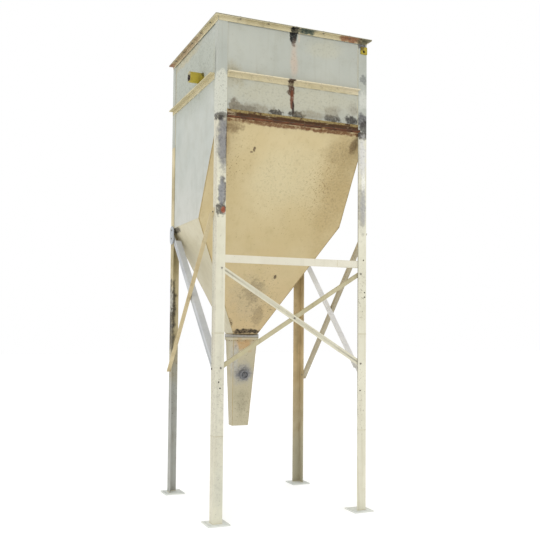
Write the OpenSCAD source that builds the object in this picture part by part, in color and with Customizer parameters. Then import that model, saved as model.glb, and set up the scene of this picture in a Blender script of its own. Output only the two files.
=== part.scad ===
// Hopper-bottom dust collector: a sheet-steel housing with cartridge filters on four angle legs.
// Origin on the ground under the middle of the frame, front face towards -Y, +Z up.

/* [Frame] */
// Width over the outside faces of the legs
frame_w = 1524; // [1270:1:1840]
// Depth over the outside faces of the legs
frame_d = 1460; // [1210:1:1760]
// Flange width of the leg and corner-post angle
leg_w = 90; // [75:1:110]
// Thickness of the leg and corner-post angle
leg_t = 8; // [6:0.5:10]
// Side of the square base plates
base_w = 204; // [170:1:246]
// Thickness of the base plates
base_t = 12; // [8:1:20]
// Pitch of the anchor holes in a base plate
anchor_pitch = 150; // [134:1:160]
// Radius of the anchor holes
anchor_r = 9; // [6:0.5:11]

/* [Housing] */
// Height of the face of the top flange
flange_z = 4514; // [4350:1:4900]
// Thickness of the housing and hopper sheets
sheet_t = 5; // [3:0.5:6]
// Height of the front joint between the housing and the hopper
joint_z = 3614; // [3450:1:3700]
// Height where the upright side walls end
knee_z = 2757; // [2500:1:2900]
// How far the top flange stands out from the legs
flange_out = 38; // [32:1:46]
// Drop of the top flange's upright leg
flange_drop = 40; // [25:1:50]
// Thickness of the top flange
flange_t = 5; // [4:0.5:8]
// Height of the top of the stiffener band
band_z = 4020; // [3950:1:4100]
// Flange width of the band and joint angles
band_w = 50; // [40:1:60]
// Thickness of the band angle, thicker than the leg so that it laps the rear posts
band_t = 10; // [9:0.5:14]
// Height of the upright leg of the joint angle
joint_h = 66; // [56:1:78]
// Thickness of the joint angle
joint_t = 6; // [4:0.5:8]

/* [Hopper outlet and spout] */
// Height of the hopper outlet
outlet_z = 1650; // [1500:1:1800]
// Width of the hopper outlet
outlet_w = 270; // [225:1:324]
// Depth of the hopper outlet
outlet_d = 232; // [194:1:278]
// How far the outlet flanges stand out from the outlet
outlet_lip = 12; // [11:1:16]
// Height of each outlet flange
outlet_flange_t = 30; // [24:1:36]
// Height of the open end of the spout
spout_z = 672; // [500:1:800]
// Width of the spout at its open end
spout_w = 180; // [150:1:216]
// Depth of the spout at its open end
spout_d = 100; // [84:1:120]
// Wall of the spout
spout_t = 4; // [3:0.5:6]
// Height of the port on the spout
port_z = 1226; // [1100:1:1400]
// Outside radius of the port coupling
port_r = 46; // [40:1:54]
// Bore radius of the port coupling
port_bore_r = 37; // [31:1:38]
// Length of the port coupling
port_len = 46; // [38:1:56]

/* [Bracing] */
// Height of the underside of the front rail
rail_z = 2297; // [2200:1:2400]
// Depth of the face of the front rail
rail_h = 70; // [60:1:84]
// Place of the joint in the front rail, from the middle
rail_splice_x = 457; // [381:1:548]
// Width of the flat front brace
flat_w = 50; // [42:1:60]
// Thickness of the flat front brace
flat_t = 8; // [6:0.5:10]
// Flange width of the angle front brace
angle_w = 35; // [30:1:42]
// Thickness of the angle braces
angle_t = 6; // [4:0.5:8]
// Flange width of the outer side braces
outer_w = 40; // [34:1:48]
// Flange width of the inner side braces
inner_w = 64; // [54:1:76]
// Height of the lower ends of the front braces
front_low_z = 1388; // [1200:1:1600]
// Height of the rear end of the left inner brace
left_inner_z = 2647; // [2400:1:2660]
// Height of the front end of the left outer brace
left_outer_z = 2750; // [2500:1:3000]
// Height of the rear end of the right inner brace
right_inner_z = 2558; // [2400:1:2660]
// Height of the front end of the right outer brace
right_outer_z = 2650; // [2550:1:2750]

/* [Roof] */
// Thickness of the roof plate
roof_t = 5; // [4:0.5:8]
// Thickness of the gaskets
gasket_t = 3; // [2:0.5:5]
// Width of the hatch opening
hatch_w = 560; // [470:1:672]
// Depth of the hatch opening
hatch_d = 420; // [350:1:480]
// Middle of the hatch, in front of the middle of the roof
hatch_y = 380; // [340:1:420]
// Height of the hatch curb
curb_h = 30; // [24:1:40]
// Radius of the air header
header_r = 84; // [70:1:100]
// Length of the air header
header_len = 1180; // [1150:1:1300]
// Middle of the header, behind the middle of the roof
header_y = 520; // [500:1:560]

/* [Filters and air path] */
// Height of the top of the tube sheet
sheet_top_z = 3990; // [3930:1:4050]
// Outside radius of a filter cartridge
cart_r = 160; // [134:1:176]
// Length of a filter cartridge below the tube sheet
cart_len = 640; // [530:1:660]
// Spacing of the cartridges across the housing
cart_pitch_x = 470; // [400:1:490]
// Spacing of the cartridges from front to back
cart_pitch_y = 500; // [400:1:520]
// Radius of the round duct collars
duct_r = 152; // [126:1:170]
// Height of the dusty-air inlet
inlet_z = 3080; // [2980:1:3150]
// Height of the clean-air outlet
exhaust_z = 4255; // [4200:1:4300]
// Length of the duct collars
collar_len = 80; // [66:1:96]
// Radius of the compressed-air pipes
pipe_r = 21; // [17:1:25]

/* [Access door] */
// Width of the door opening
door_w = 460; // [384:1:552]
// Height of the door opening
door_h = 620; // [520:1:744]
// Height of the middle of the door
door_z = 3300; // [3200:1:3400]

/* [Lifting points] */
// Outside radius of the lifting trunnions
trunnion_r = 51; // [43:1:60]
// Length of the lifting trunnions
trunnion_len = 130; // [108:1:156]
// Width of the lifting lug
lug_w = 66; // [55:1:80]

/* [Hidden] */
$fn = 48;

eps = 0.01;
weld_gap = 1;
half_w = frame_w / 2;
half_d = frame_d / 2;
wall_x = half_w - leg_t;
wall_y = half_d - leg_t;
in_x = wall_x - sheet_t;
in_y = wall_y - sheet_t;
post_x = half_w - leg_w;
post_y = half_d - leg_w;
leg_mid_x = half_w - leg_w / 2;
leg_mid_y = half_d - leg_w / 2;
flange_x = half_w + flange_out;
flange_y = half_d + flange_out;

// The front of the hopper is one flat sheet from the joint down to the outlet.
hopper_flange_t = 8;
slope_z = joint_z - gasket_t - hopper_flange_t;
outlet_y = wall_y - outlet_d;
slope_k = (outlet_y + wall_y) / (slope_z - outlet_z);
slope_a = atan(slope_k);
knee_y = -wall_y + slope_k * (slope_z - knee_z);
side_a = atan((wall_x - outlet_w / 2) / (knee_z - outlet_z));

// Fasteners: shank radius, hole clearance, head and nut
bolt_r = 5;
bolt_gap = 0.5;
head_r = 9;
head_h = 6.5;
joint_bolts_n = 8;
joint_bolt_y = wall_y + joint_t + (band_w - joint_t) / 2;
roof_pitch = 280;
roof_bolt_x = (half_w + flange_t + flange_x) / 2;
roof_bolt_y = (half_d + flange_t + flange_y) / 2;
roof_n_x = floor((half_w - leg_w / 2) / roof_pitch);
roof_n_y = floor((half_d - leg_w / 2) / roof_pitch);
roof_z = flange_z + gasket_t;
roof_top = roof_z + roof_t;

// Spout
spout_gasket_t = 4;
spout_top_z = outlet_z - 2 * outlet_flange_t - spout_gasket_t;
spout_clear = 2;
spout_lean = atan((outlet_d - 2 * spout_clear - spout_d) / (spout_top_z - spout_z));
outlet_bolt_r = 3;
outlet_head_r = 5;
outlet_head_h = 5;

// Braces end on the leg flanges, a little in from the free edge
brace_in = 22;
front_bolt_x = leg_mid_x - 14;
side_bolt_y = post_y + brace_in;
brace_end = 18;
front_rise = 0.85;
flat_top_z = rail_z - flat_w / 2 / front_rise - 20;
angle_top_z = rail_z - angle_w / 2 / front_rise - 34;
angle_low_z = front_low_z - 26;
side_outer_fall = 1.0965;
side_inner_fall = 0.977;
gusset_r = 60;
gusset_t = 12;
gusset_rise = 88;
gusset_y = leg_mid_y - 10;

// Duct collars and their places on the right wall
collar_t = 2;
collar_flange = 24;
collar_x = wall_x + collar_len;
inlet_y = 230;
exhaust_y = 120;

// Door and hatch: frame bar, seal, leaf, hinges and quarter-turn latches
bar_w = 30;
bar_gap = 0.3;
door_frame_t = 18;
seal_t = 4;
leaf_t = 4;
pin_r = 5;
knuckle_r = 9;
knuckle_len = 36;
run_gap = 0.08;
hinge_off = 14;
door_face = wall_y + door_frame_t + seal_t;
door_hinge_x = -(door_w / 2 + bar_w + hinge_off);
door_hinge_y = door_face + leaf_t + 2;
shaft_r = 6;
latch_in = 30;
cam_len = 52;
cam_w = 22;
cam_t = 6;
cam_gap = 3;
lever_len = 112;
hatch_face = roof_top + curb_h + seal_t;
hatch_hinge_y = -hatch_y + hatch_d / 2 + bar_w + hinge_off;
hatch_hinge_z = hatch_face + leaf_t + 2;

// Cartridges
cap_t = 4;
cap_lip = 26;
pleats = 48;
pleat_depth = 34;
core_r = cart_r - pleat_depth - 8;
sheet_plate_t = 6;
cart_x = [-cart_pitch_x, 0, cart_pitch_x];
cart_y = [-cart_pitch_y / 2, cart_pitch_y / 2];
rod_r = 6;
pipe_z = (sheet_top_z + flange_z) / 2 + 20;
drop_y = cart_pitch_y / 2 + 70;
valve_z = roof_top + header_r + 34;
valve_r = 46;
supply_r = 13;
supply_len = 30;
pipe_wall = 3;

module both_sides() { children(); mirror([1, 0, 0]) children(); }
module front_and_rear() { children(); mirror([0, 1, 0]) children(); }

// Puts a piece drawn at the right rear corner at any corner
module at_corner(sx, sy) {
    mirror([sx < 0 ? 1 : 0, 0, 0]) mirror([0, sy < 0 ? 1 : 0, 0]) children();
}

// Extrudes an outline given as (y, z) along +X
module along_x(len) { rotate([90, 0, 90]) linear_extrude(len) children(); }
// Extrudes an outline given as (x, z) along -Y
module along_y(len) { rotate([90, 0, 0]) linear_extrude(len) children(); }

module rod_x(r, x0, x1) { translate([x0, 0, 0]) rotate([0, 90, 0]) cylinder(r = r, h = x1 - x0); }
module rod_y(r, y0, y1) { translate([0, y0, 0]) rotate([-90, 0, 0]) cylinder(r = r, h = y1 - y0); }

module angle_outline(w, t) { polygon([[0, 0], [w, 0], [w, t], [t, t], [t, w], [0, w]]); }

// Hexagon-headed bolt standing on z = 0, with its nut at the far side of the grip
module bolt(grip, r = bolt_r) {
    k = r / bolt_r;
    translate([0, 0, -grip - head_h * k]) cylinder(r = r, h = grip + head_h * k);
    cylinder(r = head_r * k, h = head_h * k, $fn = 6);
    translate([0, 0, -grip - head_h * k]) cylinder(r = head_r * k, h = head_h * k, $fn = 6);
}

// ---------------------------------------------------------------- frame
module corner_angle(z0, z1) {
    translate([half_w, half_d, z0]) rotate(180) linear_extrude(z1 - z0) angle_outline(leg_w, leg_t);
}

// Ends of the braces where they are bolted to the legs: [place along the side, height]
flat_ends = [[-front_bolt_x, flat_top_z], [front_bolt_x, front_low_z]];
angle_ends = [[-front_bolt_x, angle_low_z], [front_bolt_x, angle_top_z]];
function outer_ends(z) = [[-side_bolt_y, z], [side_bolt_y, z - 2 * side_bolt_y * side_outer_fall]];
function inner_ends(z) = [[side_bolt_y, z], [-side_bolt_y, z - 2 * side_bolt_y * side_inner_fall]];
function side_ends(inner_z, outer_z) =
    concat(outer_ends(outer_z), inner_ends(inner_z), [[side_bolt_y, inner_z + gusset_rise]]);
left_ends = side_ends(left_inner_z, left_outer_z);
right_ends = side_ends(right_inner_z, right_outer_z);

module front_holes(pts, r, y0, y1) {
    for (p = pts) translate([p[0], 0, p[1]]) rod_y(r, y0, y1);
}
module side_holes(pts, r, x0, x1) {
    for (p = pts) translate([0, p[0], p[1]]) rod_x(r, x0, x1);
}
// Spare holes left in the front legs: [side, distance from the leg's free edge, height]
spare_holes = [[1, 61, 2374], [1, 74, 2064], [1, 74, 2021], [1, 28, 1134], [-1, 48, 1241], [-1, 35, 1186]];
spare_r = 7;
module spare_leg_holes() {
    for (h = spare_holes)
        translate([h[0] * (post_x + h[1]), 0, h[2]]) rod_y(spare_r, -half_d - eps, -half_d + leg_t + eps);
}
hole_r = bolt_r + bolt_gap;

module leg(sx, sy) {
    color("ivory") difference() {
        at_corner(sx, sy) corner_angle(base_t, joint_z);
        front_holes(concat(flat_ends, angle_ends), hole_r, -half_d - eps, -half_d + leg_t + eps);
        spare_leg_holes();
        side_holes(right_ends, hole_r, wall_x - eps, half_w + eps);
        mirror([1, 0, 0]) side_holes(left_ends, hole_r, wall_x - eps, half_w + eps);
    }
}
module leg_front_left() { leg(-1, -1); }
module leg_front_right() { leg(1, -1); }
module leg_rear_left() { leg(-1, 1); }
module leg_rear_right() { leg(1, 1); }

module base_plates() {
    color("lightgray") for (sx = [-1, 1], sy = [-1, 1])
        translate([sx * leg_mid_x, sy * leg_mid_y, 0]) difference() {
            translate([-base_w / 2, -base_w / 2, 0]) cube([base_w, base_w, base_t]);
            for (ax = [-1, 1], ay = [-1, 1])
                translate([ax * anchor_pitch / 2, ay * anchor_pitch / 2, -eps])
                    cylinder(r = anchor_r, h = base_t + 2 * eps);
        }
}

module corner_posts() {
    color("ivory") for (sx = [-1, 1], sy = [-1, 1])
        at_corner(sx, sy) corner_angle(joint_z, flange_z - flange_t);
}

// ---------------------------------------------------------------- housing and hopper sheets
module front_panel() {
    color("silver") translate([-in_x, -wall_y, joint_z]) cube([2 * in_x, sheet_t, flange_z - joint_z]);
}

// The slab that the sloping front sheet fills, with all that lies outside it
module slope_slab() {
    reach = frame_d + frame_w;
    translate([0, -wall_y, slope_z]) rotate([90 + slope_a, 0, 0])
        translate([-half_w - 50, -2 * reach, -sheet_t]) cube([frame_w + 100, 3 * reach, 2 * reach]);
}

module side_wall() {
    difference() {
        translate([in_x, 0, 0]) along_x(sheet_t)
            polygon([[-wall_y, slope_z], [knee_y, knee_z], [wall_y, knee_z], [wall_y, flange_z],
                [-wall_y, flange_z]]);
        difference() {
            slope_slab();
            translate([0, 0, slope_z + joint_z]) cube(2 * joint_z, center = true);
        }
    }
}
module left_wall() { color("gainsboro") mirror([1, 0, 0]) side_wall(); }
module right_wall() {
    color("gainsboro") difference() {
        side_wall();
        translate([0, inlet_y, inlet_z]) rod_x(duct_r - collar_t, in_x - eps, wall_x + eps);
        translate([0, exhaust_y, exhaust_z]) rod_x(duct_r - collar_t, in_x - eps, wall_x + eps);
    }
}
module rear_wall() {
    color("gainsboro") difference() {
        translate([-in_x, in_y, knee_z]) cube([2 * in_x, sheet_t, flange_z - knee_z]);
        translate([-door_w / 2, in_y - eps, door_z - door_h / 2])
            cube([door_w, sheet_t + 2 * eps, door_h]);
    }
}

module hopper_front() {
    knee_s = (slope_z - knee_z) / cos(slope_a);
    outlet_s = (slope_z - outlet_z) / cos(slope_a);
    color("tan") difference() {
        translate([0, -wall_y, slope_z]) rotate([90 + slope_a, 0, 0]) translate([0, 0, -sheet_t])
            linear_extrude(sheet_t)
                polygon([[-wall_x, sheet_t], [wall_x, sheet_t], [wall_x, -knee_s],
                    [outlet_w / 2, -outlet_s - sheet_t], [-outlet_w / 2, -outlet_s - sheet_t],
                    [-wall_x, -knee_s]]);
        translate([0, 0, slope_z + joint_z]) cube(2 * joint_z, center = true);
        translate([0, 0, outlet_z - joint_z]) cube(2 * joint_z, center = true);
    }
}

// Sloping side sheet of the hopper, drawn for the left side
module hopper_side() {
    slant = (knee_z - outlet_z) / cos(side_a);
    difference() {
        translate([-outlet_w / 2, 0, outlet_z]) rotate([0, -90 - side_a, 0]) translate([0, 0, -sheet_t])
            linear_extrude(sheet_t)
                polygon([[-sheet_t, outlet_y], [-sheet_t, in_y], [slant + sheet_t, in_y],
                    [slant + sheet_t, knee_y - sheet_t], [0, outlet_y]]);
        slope_slab();
        translate([0, 0, knee_z + joint_z]) cube(2 * joint_z, center = true);
        translate([0, 0, outlet_z - joint_z]) cube(2 * joint_z, center = true);
    }
}
module hopper_left() { color("wheat") hopper_side(); }
module hopper_right() { color("wheat") mirror([1, 0, 0]) hopper_side(); }
module hopper_rear() {
    color("wheat") translate([0, wall_y, 0]) along_y(sheet_t)
        polygon([[-wall_x, knee_z], [wall_x, knee_z], [outlet_w / 2, outlet_z], [-outlet_w / 2, outlet_z]]);
}

// ---------------------------------------------------------------- housing trim
module top_flange() {
    drop = flange_drop - flange_t;
    color("darkkhaki") difference() {
        union() {
            front_and_rear() {
                translate([-flange_x, wall_y, flange_z - flange_t])
                    cube([2 * flange_x, flange_y - wall_y, flange_t]);
                translate([-half_w, half_d, flange_z - flange_drop]) cube([frame_w, flange_t, drop + eps]);
            }
            both_sides() {
                translate([wall_x, -wall_y + weld_gap, flange_z - flange_t])
                    cube([flange_x - wall_x, 2 * (wall_y - weld_gap), flange_t]);
                translate([half_w, -wall_y + weld_gap, flange_z - flange_drop])
                    cube([flange_t, 2 * (wall_y - weld_gap), drop + eps]);
            }
        }
        roof_bolt_places() translate([0, 0, -flange_t - eps])
            cylinder(r = hole_r, h = flange_t + 2 * eps);
    }
}

module band_outline() {
    polygon([[0, 0], [band_t, 0], [band_t, band_w - band_t], [band_w, band_w - band_t],
        [band_w, band_w], [0, band_w]]);
}
module stiffener_band() {
    low = band_z - band_w;
    run = 2 * (post_x - weld_gap);
    color("darkkhaki") {
        front_and_rear() translate([-run / 2, wall_y, low]) along_x(run) band_outline();
        both_sides() difference() {
            translate([wall_x, half_d, low]) along_y(half_d + post_y - weld_gap) band_outline();
            translate([wall_x - eps, post_y - weld_gap, low - eps])
                cube([leg_t + 2 * eps, leg_w + 2 * weld_gap, band_w + 2 * eps]);
        }
    }
}

module joint_angle() {
    color("saddlebrown") difference() {
        translate([-post_x + weld_gap, -wall_y, joint_z]) mirror([0, 1, 0])
            along_x(2 * (post_x - weld_gap))
                polygon([[0, 0], [band_w, 0], [band_w, joint_t], [joint_t, joint_t],
                    [joint_t, joint_h], [0, joint_h]]);
        joint_bolt_places() cylinder(r = hole_r, h = 4 * band_w, center = true);
    }
}
module joint_strip(z, t) {
    difference() {
        translate([0, 0, z]) union() {
            translate([-in_x, -wall_y, 0]) cube([2 * in_x, sheet_t, t]);
            translate([-post_x + weld_gap, -wall_y - band_w, 0])
                cube([2 * (post_x - weld_gap), band_w + eps, t]);
        }
        joint_bolt_places() cylinder(r = hole_r, h = 4 * band_w, center = true);
    }
}
module joint_gasket() { color("dimgray") joint_strip(joint_z - gasket_t, gasket_t); }
module hopper_flange() { color("sienna") joint_strip(slope_z, hopper_flange_t); }
module joint_bolt_places() {
    step = 2 * post_x / joint_bolts_n;
    for (i = [0 : joint_bolts_n - 1])
        translate([-post_x + (i + 0.5) * step, -joint_bolt_y, joint_z]) children();
}
module joint_bolts() {
    color("dimgray") joint_bolt_places() translate([0, 0, joint_t])
        bolt(joint_t + gasket_t + hopper_flange_t);
}

// ---------------------------------------------------------------- outlet and spout
module outlet_ring(z, t) {
    difference() {
        translate([-outlet_w / 2 - outlet_lip, outlet_y - outlet_lip, z])
            cube([outlet_w + 2 * outlet_lip, outlet_d + outlet_lip, t]);
        translate([-outlet_w / 2 + sheet_t, outlet_y + sheet_t, z - eps])
            cube([outlet_w - 2 * sheet_t, outlet_d - 2 * sheet_t, t + 2 * eps]);
    }
}
// The flanges are held by screws from below, tapped into the upper flange
module outlet_bolt_places() {
    across = (outlet_w + outlet_lip - sheet_t) / 2;
    ahead = (outlet_lip - sheet_t) / 2;
    translate([0, outlet_y, spout_top_z]) {
        for (sx = [-1, 1], i = [1, 3, 5]) translate([sx * across, i * outlet_d / 6, 0]) children();
        for (i = [-1, 0, 1]) translate([i * outlet_w / 3, -ahead, 0]) children();
    }
}
outlet_bolt_len = 2 * outlet_flange_t + spout_gasket_t - 6;
module outlet_flange() {
    color("darkgray") difference() {
        outlet_ring(outlet_z - outlet_flange_t, outlet_flange_t);
        outlet_bolt_places() cylinder(r = outlet_bolt_r, h = outlet_bolt_len);
    }
}
module outlet_gasket() {
    color("dimgray") difference() {
        outlet_ring(spout_top_z + outlet_flange_t, spout_gasket_t);
        outlet_bolt_places() cylinder(r = outlet_bolt_r + bolt_gap, h = outlet_bolt_len);
    }
}
module outlet_bolts() {
    color("dimgray") outlet_bolt_places() {
        cylinder(r = outlet_bolt_r, h = outlet_bolt_len);
        translate([0, 0, -outlet_head_h]) cylinder(r = outlet_head_r, h = outlet_head_h);
    }
}

// Half width and front face of the tapered spout at a height
function spout_part(z) = (z - spout_z) / (spout_top_z - spout_z);
function spout_half(z) = spout_w / 2 + (outlet_w / 2 - spout_clear - spout_w / 2) * spout_part(z);
function spout_front(z) = wall_y - spout_d - (outlet_d - 2 * spout_clear - spout_d) * spout_part(z);

// Body of the spout, inset by a wall thickness and run past both ends
module spout_body(inset, over) {
    top = spout_top_z + over;
    end = spout_z - over;
    intersection() {
        translate([0, wall_y + eps, 0]) along_y(outlet_d)
            polygon([[-spout_half(top) + inset, top], [spout_half(top) - inset, top],
                [spout_half(end) - inset, end], [-spout_half(end) + inset, end]]);
        translate([-outlet_w, 0, 0]) along_x(2 * outlet_w)
            polygon([[spout_front(top) + inset, top], [wall_y - inset, top], [wall_y - inset, end],
                [spout_front(end) + inset, end]]);
    }
}
module on_spout_face() {
    translate([0, spout_front(port_z), port_z]) rotate([spout_lean, 0, 0]) children();
}
module spout() {
    color("silver") difference() {
        union() {
            outlet_ring(spout_top_z, outlet_flange_t);
            spout_body(0, 0);
        }
        spout_body(spout_t, 2 * outlet_flange_t);
        outlet_bolt_places() cylinder(r = outlet_bolt_r + bolt_gap, h = outlet_bolt_len);
        on_spout_face() rod_y(port_bore_r, -port_len, port_len / 2);
    }
}
module port_coupling() {
    color("gray") on_spout_face() difference() {
        rod_y(port_r, -port_len, 0);
        rod_y(port_bore_r, -port_len - eps, eps);
    }
}
// Pipe plug screwed into the coupling, with a square drive
module port_plug() {
    drive = port_bore_r * 0.8;
    color("dimgray") on_spout_face() {
        rod_y(port_bore_r, -port_len * 0.62, -port_len * 0.2);
        translate([-drive / 2, -port_len * 0.92, -drive / 2]) cube([drive, port_len * 0.4, drive]);
    }
}

// ---------------------------------------------------------------- lifting points
trunnion_wall = 8;
trunnion_y = -254;
trunnion_z = band_z + trunnion_r + 9;
module trunnion() {
    translate([0, trunnion_y, trunnion_z]) difference() {
        rod_x(trunnion_r, wall_x, wall_x + trunnion_len);
        rod_x(trunnion_r - trunnion_wall, wall_x + sheet_t, wall_x + trunnion_len + eps);
    }
}
module trunnion_left() { color("gold") mirror([1, 0, 0]) trunnion(); }
module trunnion_right() { color("gold") trunnion(); }
module lifting_lug() {
    eye_r = 13;
    thick = 12;
    below_flange = 27;
    eye_in = 3;
    eye_drop = 12;
    lug_z = flange_z - flange_drop - lug_w / 2 - below_flange;
    color("gold") difference() {
        translate([half_w - lug_w, -half_d - thick, lug_z - lug_w / 2]) cube([lug_w, thick, lug_w]);
        translate([half_w - lug_w / 2 - eye_in, 0, lug_z - eye_drop])
            rod_y(eye_r, -half_d - thick - eps, -half_d + eps);
    }
}

// ---------------------------------------------------------------- bracing
module front_rail() {
    back = half_d - leg_t;
    color("ivory") translate([-wall_x + 4, -back, rail_z]) along_x(2 * wall_x - 8)
        polygon([[0, 0], [angle_t, 0], [angle_t, rail_h - angle_t], [band_w, rail_h - angle_t],
            [band_w, rail_h], [0, rail_h]]);
}
module rail_splice() {
    lap = 5;
    color("ivory") translate([rail_splice_x, -wall_y - angle_t, rail_z + lap])
        cube([post_x - rail_splice_x - weld_gap, angle_t, rail_h - 2 * lap]);
}

// A bar between two points in the XZ plane, whose ends are cut upright at the given reach
module slanted_bar(p, q, w, reach) {
    a = atan2(q[1] - p[1], q[0] - p[0]);
    intersection() {
        translate([p[0], p[1]]) rotate(a) translate([-w, -w / 2]) square([norm(q - p) + 2 * w, w]);
        translate([-reach, p[1] - 4 * reach]) square([2 * reach, 8 * reach]);
    }
}
front_reach = front_bolt_x + brace_end;
side_reach = side_bolt_y + brace_end;
function bar_angle(e) = atan2(e[1][1] - e[0][1], e[1][0] - e[0][0]);
// The place where the two front braces cross
cross_x = (angle_low_z + angle_top_z - flat_top_z - front_low_z) / 2
    / (tan(bar_angle(flat_ends)) - tan(bar_angle(angle_ends)));
cross_z = (flat_top_z + front_low_z) / 2 + cross_x * tan(bar_angle(flat_ends));
brace_face = -wall_y + flat_t;

module front_brace_flat() {
    color("ivory") difference() {
        translate([0, brace_face, 0]) along_y(flat_t)
            slanted_bar(flat_ends[0], flat_ends[1], flat_w, front_reach);
        front_holes(concat(flat_ends, [[cross_x, cross_z]]), hole_r, -half_d, brace_face + eps);
    }
}
// The angle brace lies behind the flat one, with packers against the legs
module front_brace_angle() {
    lift = (angle_w - angle_t) / cos(bar_angle(angle_ends));
    color("tan") difference() {
        union() {
            translate([0, brace_face + angle_t, 0]) along_y(angle_t)
                slanted_bar(angle_ends[0], angle_ends[1], angle_w, front_reach);
            translate([0, brace_face + angle_w, 0]) along_y(angle_w) intersection() {
                slanted_bar(angle_ends[0], angle_ends[1], angle_w, front_reach);
                translate([0, lift]) slanted_bar(angle_ends[0], angle_ends[1], angle_w, front_reach);
            }
            for (c = angle_ends) translate([c[0] - brace_end, -wall_y, c[1] - brace_end])
                cube([2 * brace_end, flat_t + eps, 2 * brace_end]);
        }
        front_holes(concat(angle_ends, [[cross_x, cross_z]]), hole_r, -half_d, brace_face + angle_w);
    }
}

// Side braces are drawn on the right, as (y, z) outlines between the leg bolts
module outer_brace(z) {
    ends = outer_ends(z);
    drop = (outer_w - angle_t) / cos(bar_angle(ends));
    difference() {
        union() {
            translate([half_w, 0, 0]) along_x(angle_t) slanted_bar(ends[0], ends[1], outer_w, side_reach);
            translate([half_w, 0, 0]) along_x(outer_w) intersection() {
                slanted_bar(ends[0], ends[1], outer_w, side_reach);
                translate([0, -drop]) slanted_bar(ends[0], ends[1], outer_w, side_reach);
            }
        }
        side_holes(ends, hole_r, half_w - eps, half_w + outer_w);
    }
}
// The inner brace's inward flange is cut short of the hopper side, and its plate stops below the wall
module inner_brace(z) {
    ends = [inner_ends(z)[1], inner_ends(z)[0]];
    rise = (inner_w - angle_t) / cos(bar_angle(ends));
    cope_z = knee_z - (inner_w + 12) / tan(side_a);
    difference() {
        union() {
            translate([wall_x - angle_t, 0, 0]) along_x(angle_t)
                slanted_bar(ends[0], ends[1], inner_w, side_reach);
            translate([wall_x - inner_w, 0, 0]) along_x(inner_w) intersection() {
                slanted_bar(ends[0], ends[1], inner_w, post_y - brace_in);
                translate([0, rise]) slanted_bar(ends[0], ends[1], inner_w, post_y - brace_in);
            }
        }
        side_holes(ends, hole_r, wall_x - inner_w, wall_x + eps);
        translate([wall_x - 2 * inner_w, -frame_d, cope_z])
            cube([2 * inner_w - angle_t, 2 * frame_d, frame_d]);
        translate([wall_x - 2 * inner_w, -frame_d, knee_z - weld_gap])
            cube([3 * inner_w, 2 * frame_d, frame_d]);
    }
}
module left_brace_outer() { color("tan") mirror([1, 0, 0]) outer_brace(left_outer_z); }
module left_brace_inner() { color("gainsboro") mirror([1, 0, 0]) inner_brace(left_inner_z); }
module right_brace_outer() { color("tan") outer_brace(right_outer_z); }
module right_brace_inner() { color("gainsboro") inner_brace(right_inner_z); }

// Rounded plate outside a rear leg, where the inner brace meets it
module gusset(z) {
    difference() {
        translate([half_w, 0, 0]) along_x(gusset_t) {
            for (dz = [0, gusset_rise - 16]) translate([gusset_y, z + dz]) circle(r = gusset_r);
            translate([gusset_y - gusset_r, z]) square([2 * gusset_r, gusset_rise - 16]);
        }
        side_holes([[side_bolt_y, z], [side_bolt_y, z + gusset_rise]], hole_r,
            half_w - eps, half_w + gusset_t + eps);
    }
}
module brace_gussets() {
    color("lightgray") {
        gusset(right_inner_z);
        mirror([1, 0, 0]) gusset(left_inner_z);
    }
}

// Outer brace at both ends, then the inner brace at the rear under its gusset, at the front, and the
// gusset's own bolt: [thickness outside the leg, thickness inside it]
side_grips = [[angle_t, 0], [angle_t, 0], [gusset_t, angle_t], [0, angle_t], [gusset_t, 0]];
module side_brace_bolts(pts) {
    for (i = [0 : len(side_grips) - 1])
        translate([half_w + side_grips[i][0], pts[i][0], pts[i][1]]) rotate([0, 90, 0])
            bolt(side_grips[i][0] + leg_t + side_grips[i][1]);
}
module brace_bolts() {
    color("dimgray") {
        for (p = flat_ends) translate([p[0], -half_d, p[1]]) rotate([90, 0, 0]) bolt(leg_t + flat_t);
        for (p = angle_ends) translate([p[0], -half_d, p[1]]) rotate([90, 0, 0])
            bolt(leg_t + flat_t + angle_t);
        translate([cross_x, -wall_y, cross_z]) rotate([90, 0, 0]) bolt(flat_t + angle_t);
        side_brace_bolts(right_ends);
        mirror([1, 0, 0]) side_brace_bolts(left_ends);
    }
}

// ---------------------------------------------------------------- roof
module roof_bolt_places() {
    translate([0, 0, flange_z]) {
        for (sx = [-1, 1], i = [-roof_n_y : roof_n_y])
            translate([sx * roof_bolt_x, i * roof_pitch, 0]) children();
        for (sy = [-1, 1], i = [-roof_n_x : roof_n_x])
            translate([i * roof_pitch, sy * roof_bolt_y, 0]) children();
    }
}
module roof_plate() {
    color("darkkhaki") difference() {
        translate([-flange_x, -flange_y, roof_z]) cube([2 * flange_x, 2 * flange_y, roof_t]);
        translate([-hatch_w / 2, -hatch_y - hatch_d / 2, roof_z - eps])
            cube([hatch_w, hatch_d, roof_t + 2 * eps]);
        roof_bolt_places() cylinder(r = hole_r, h = 4 * (gasket_t + roof_t), center = true);
        for (x = cart_x) translate([x, drop_y, roof_z - eps]) cylinder(r = pipe_r, h = roof_t + 2 * eps);
    }
}
module roof_gasket() {
    color("dimgray") difference() {
        union() {
            front_and_rear() translate([-flange_x, wall_y, flange_z])
                cube([2 * flange_x, flange_y - wall_y, gasket_t]);
            both_sides() translate([in_x, -wall_y + weld_gap, flange_z])
                cube([flange_x - in_x, 2 * (wall_y - weld_gap), gasket_t]);
        }
        roof_bolt_places() cylinder(r = hole_r, h = 4 * (gasket_t + roof_t), center = true);
    }
}
module roof_bolts() {
    color("dimgray") roof_bolt_places() translate([0, 0, gasket_t + roof_t])
        bolt(roof_t + gasket_t + flange_t);
}

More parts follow.
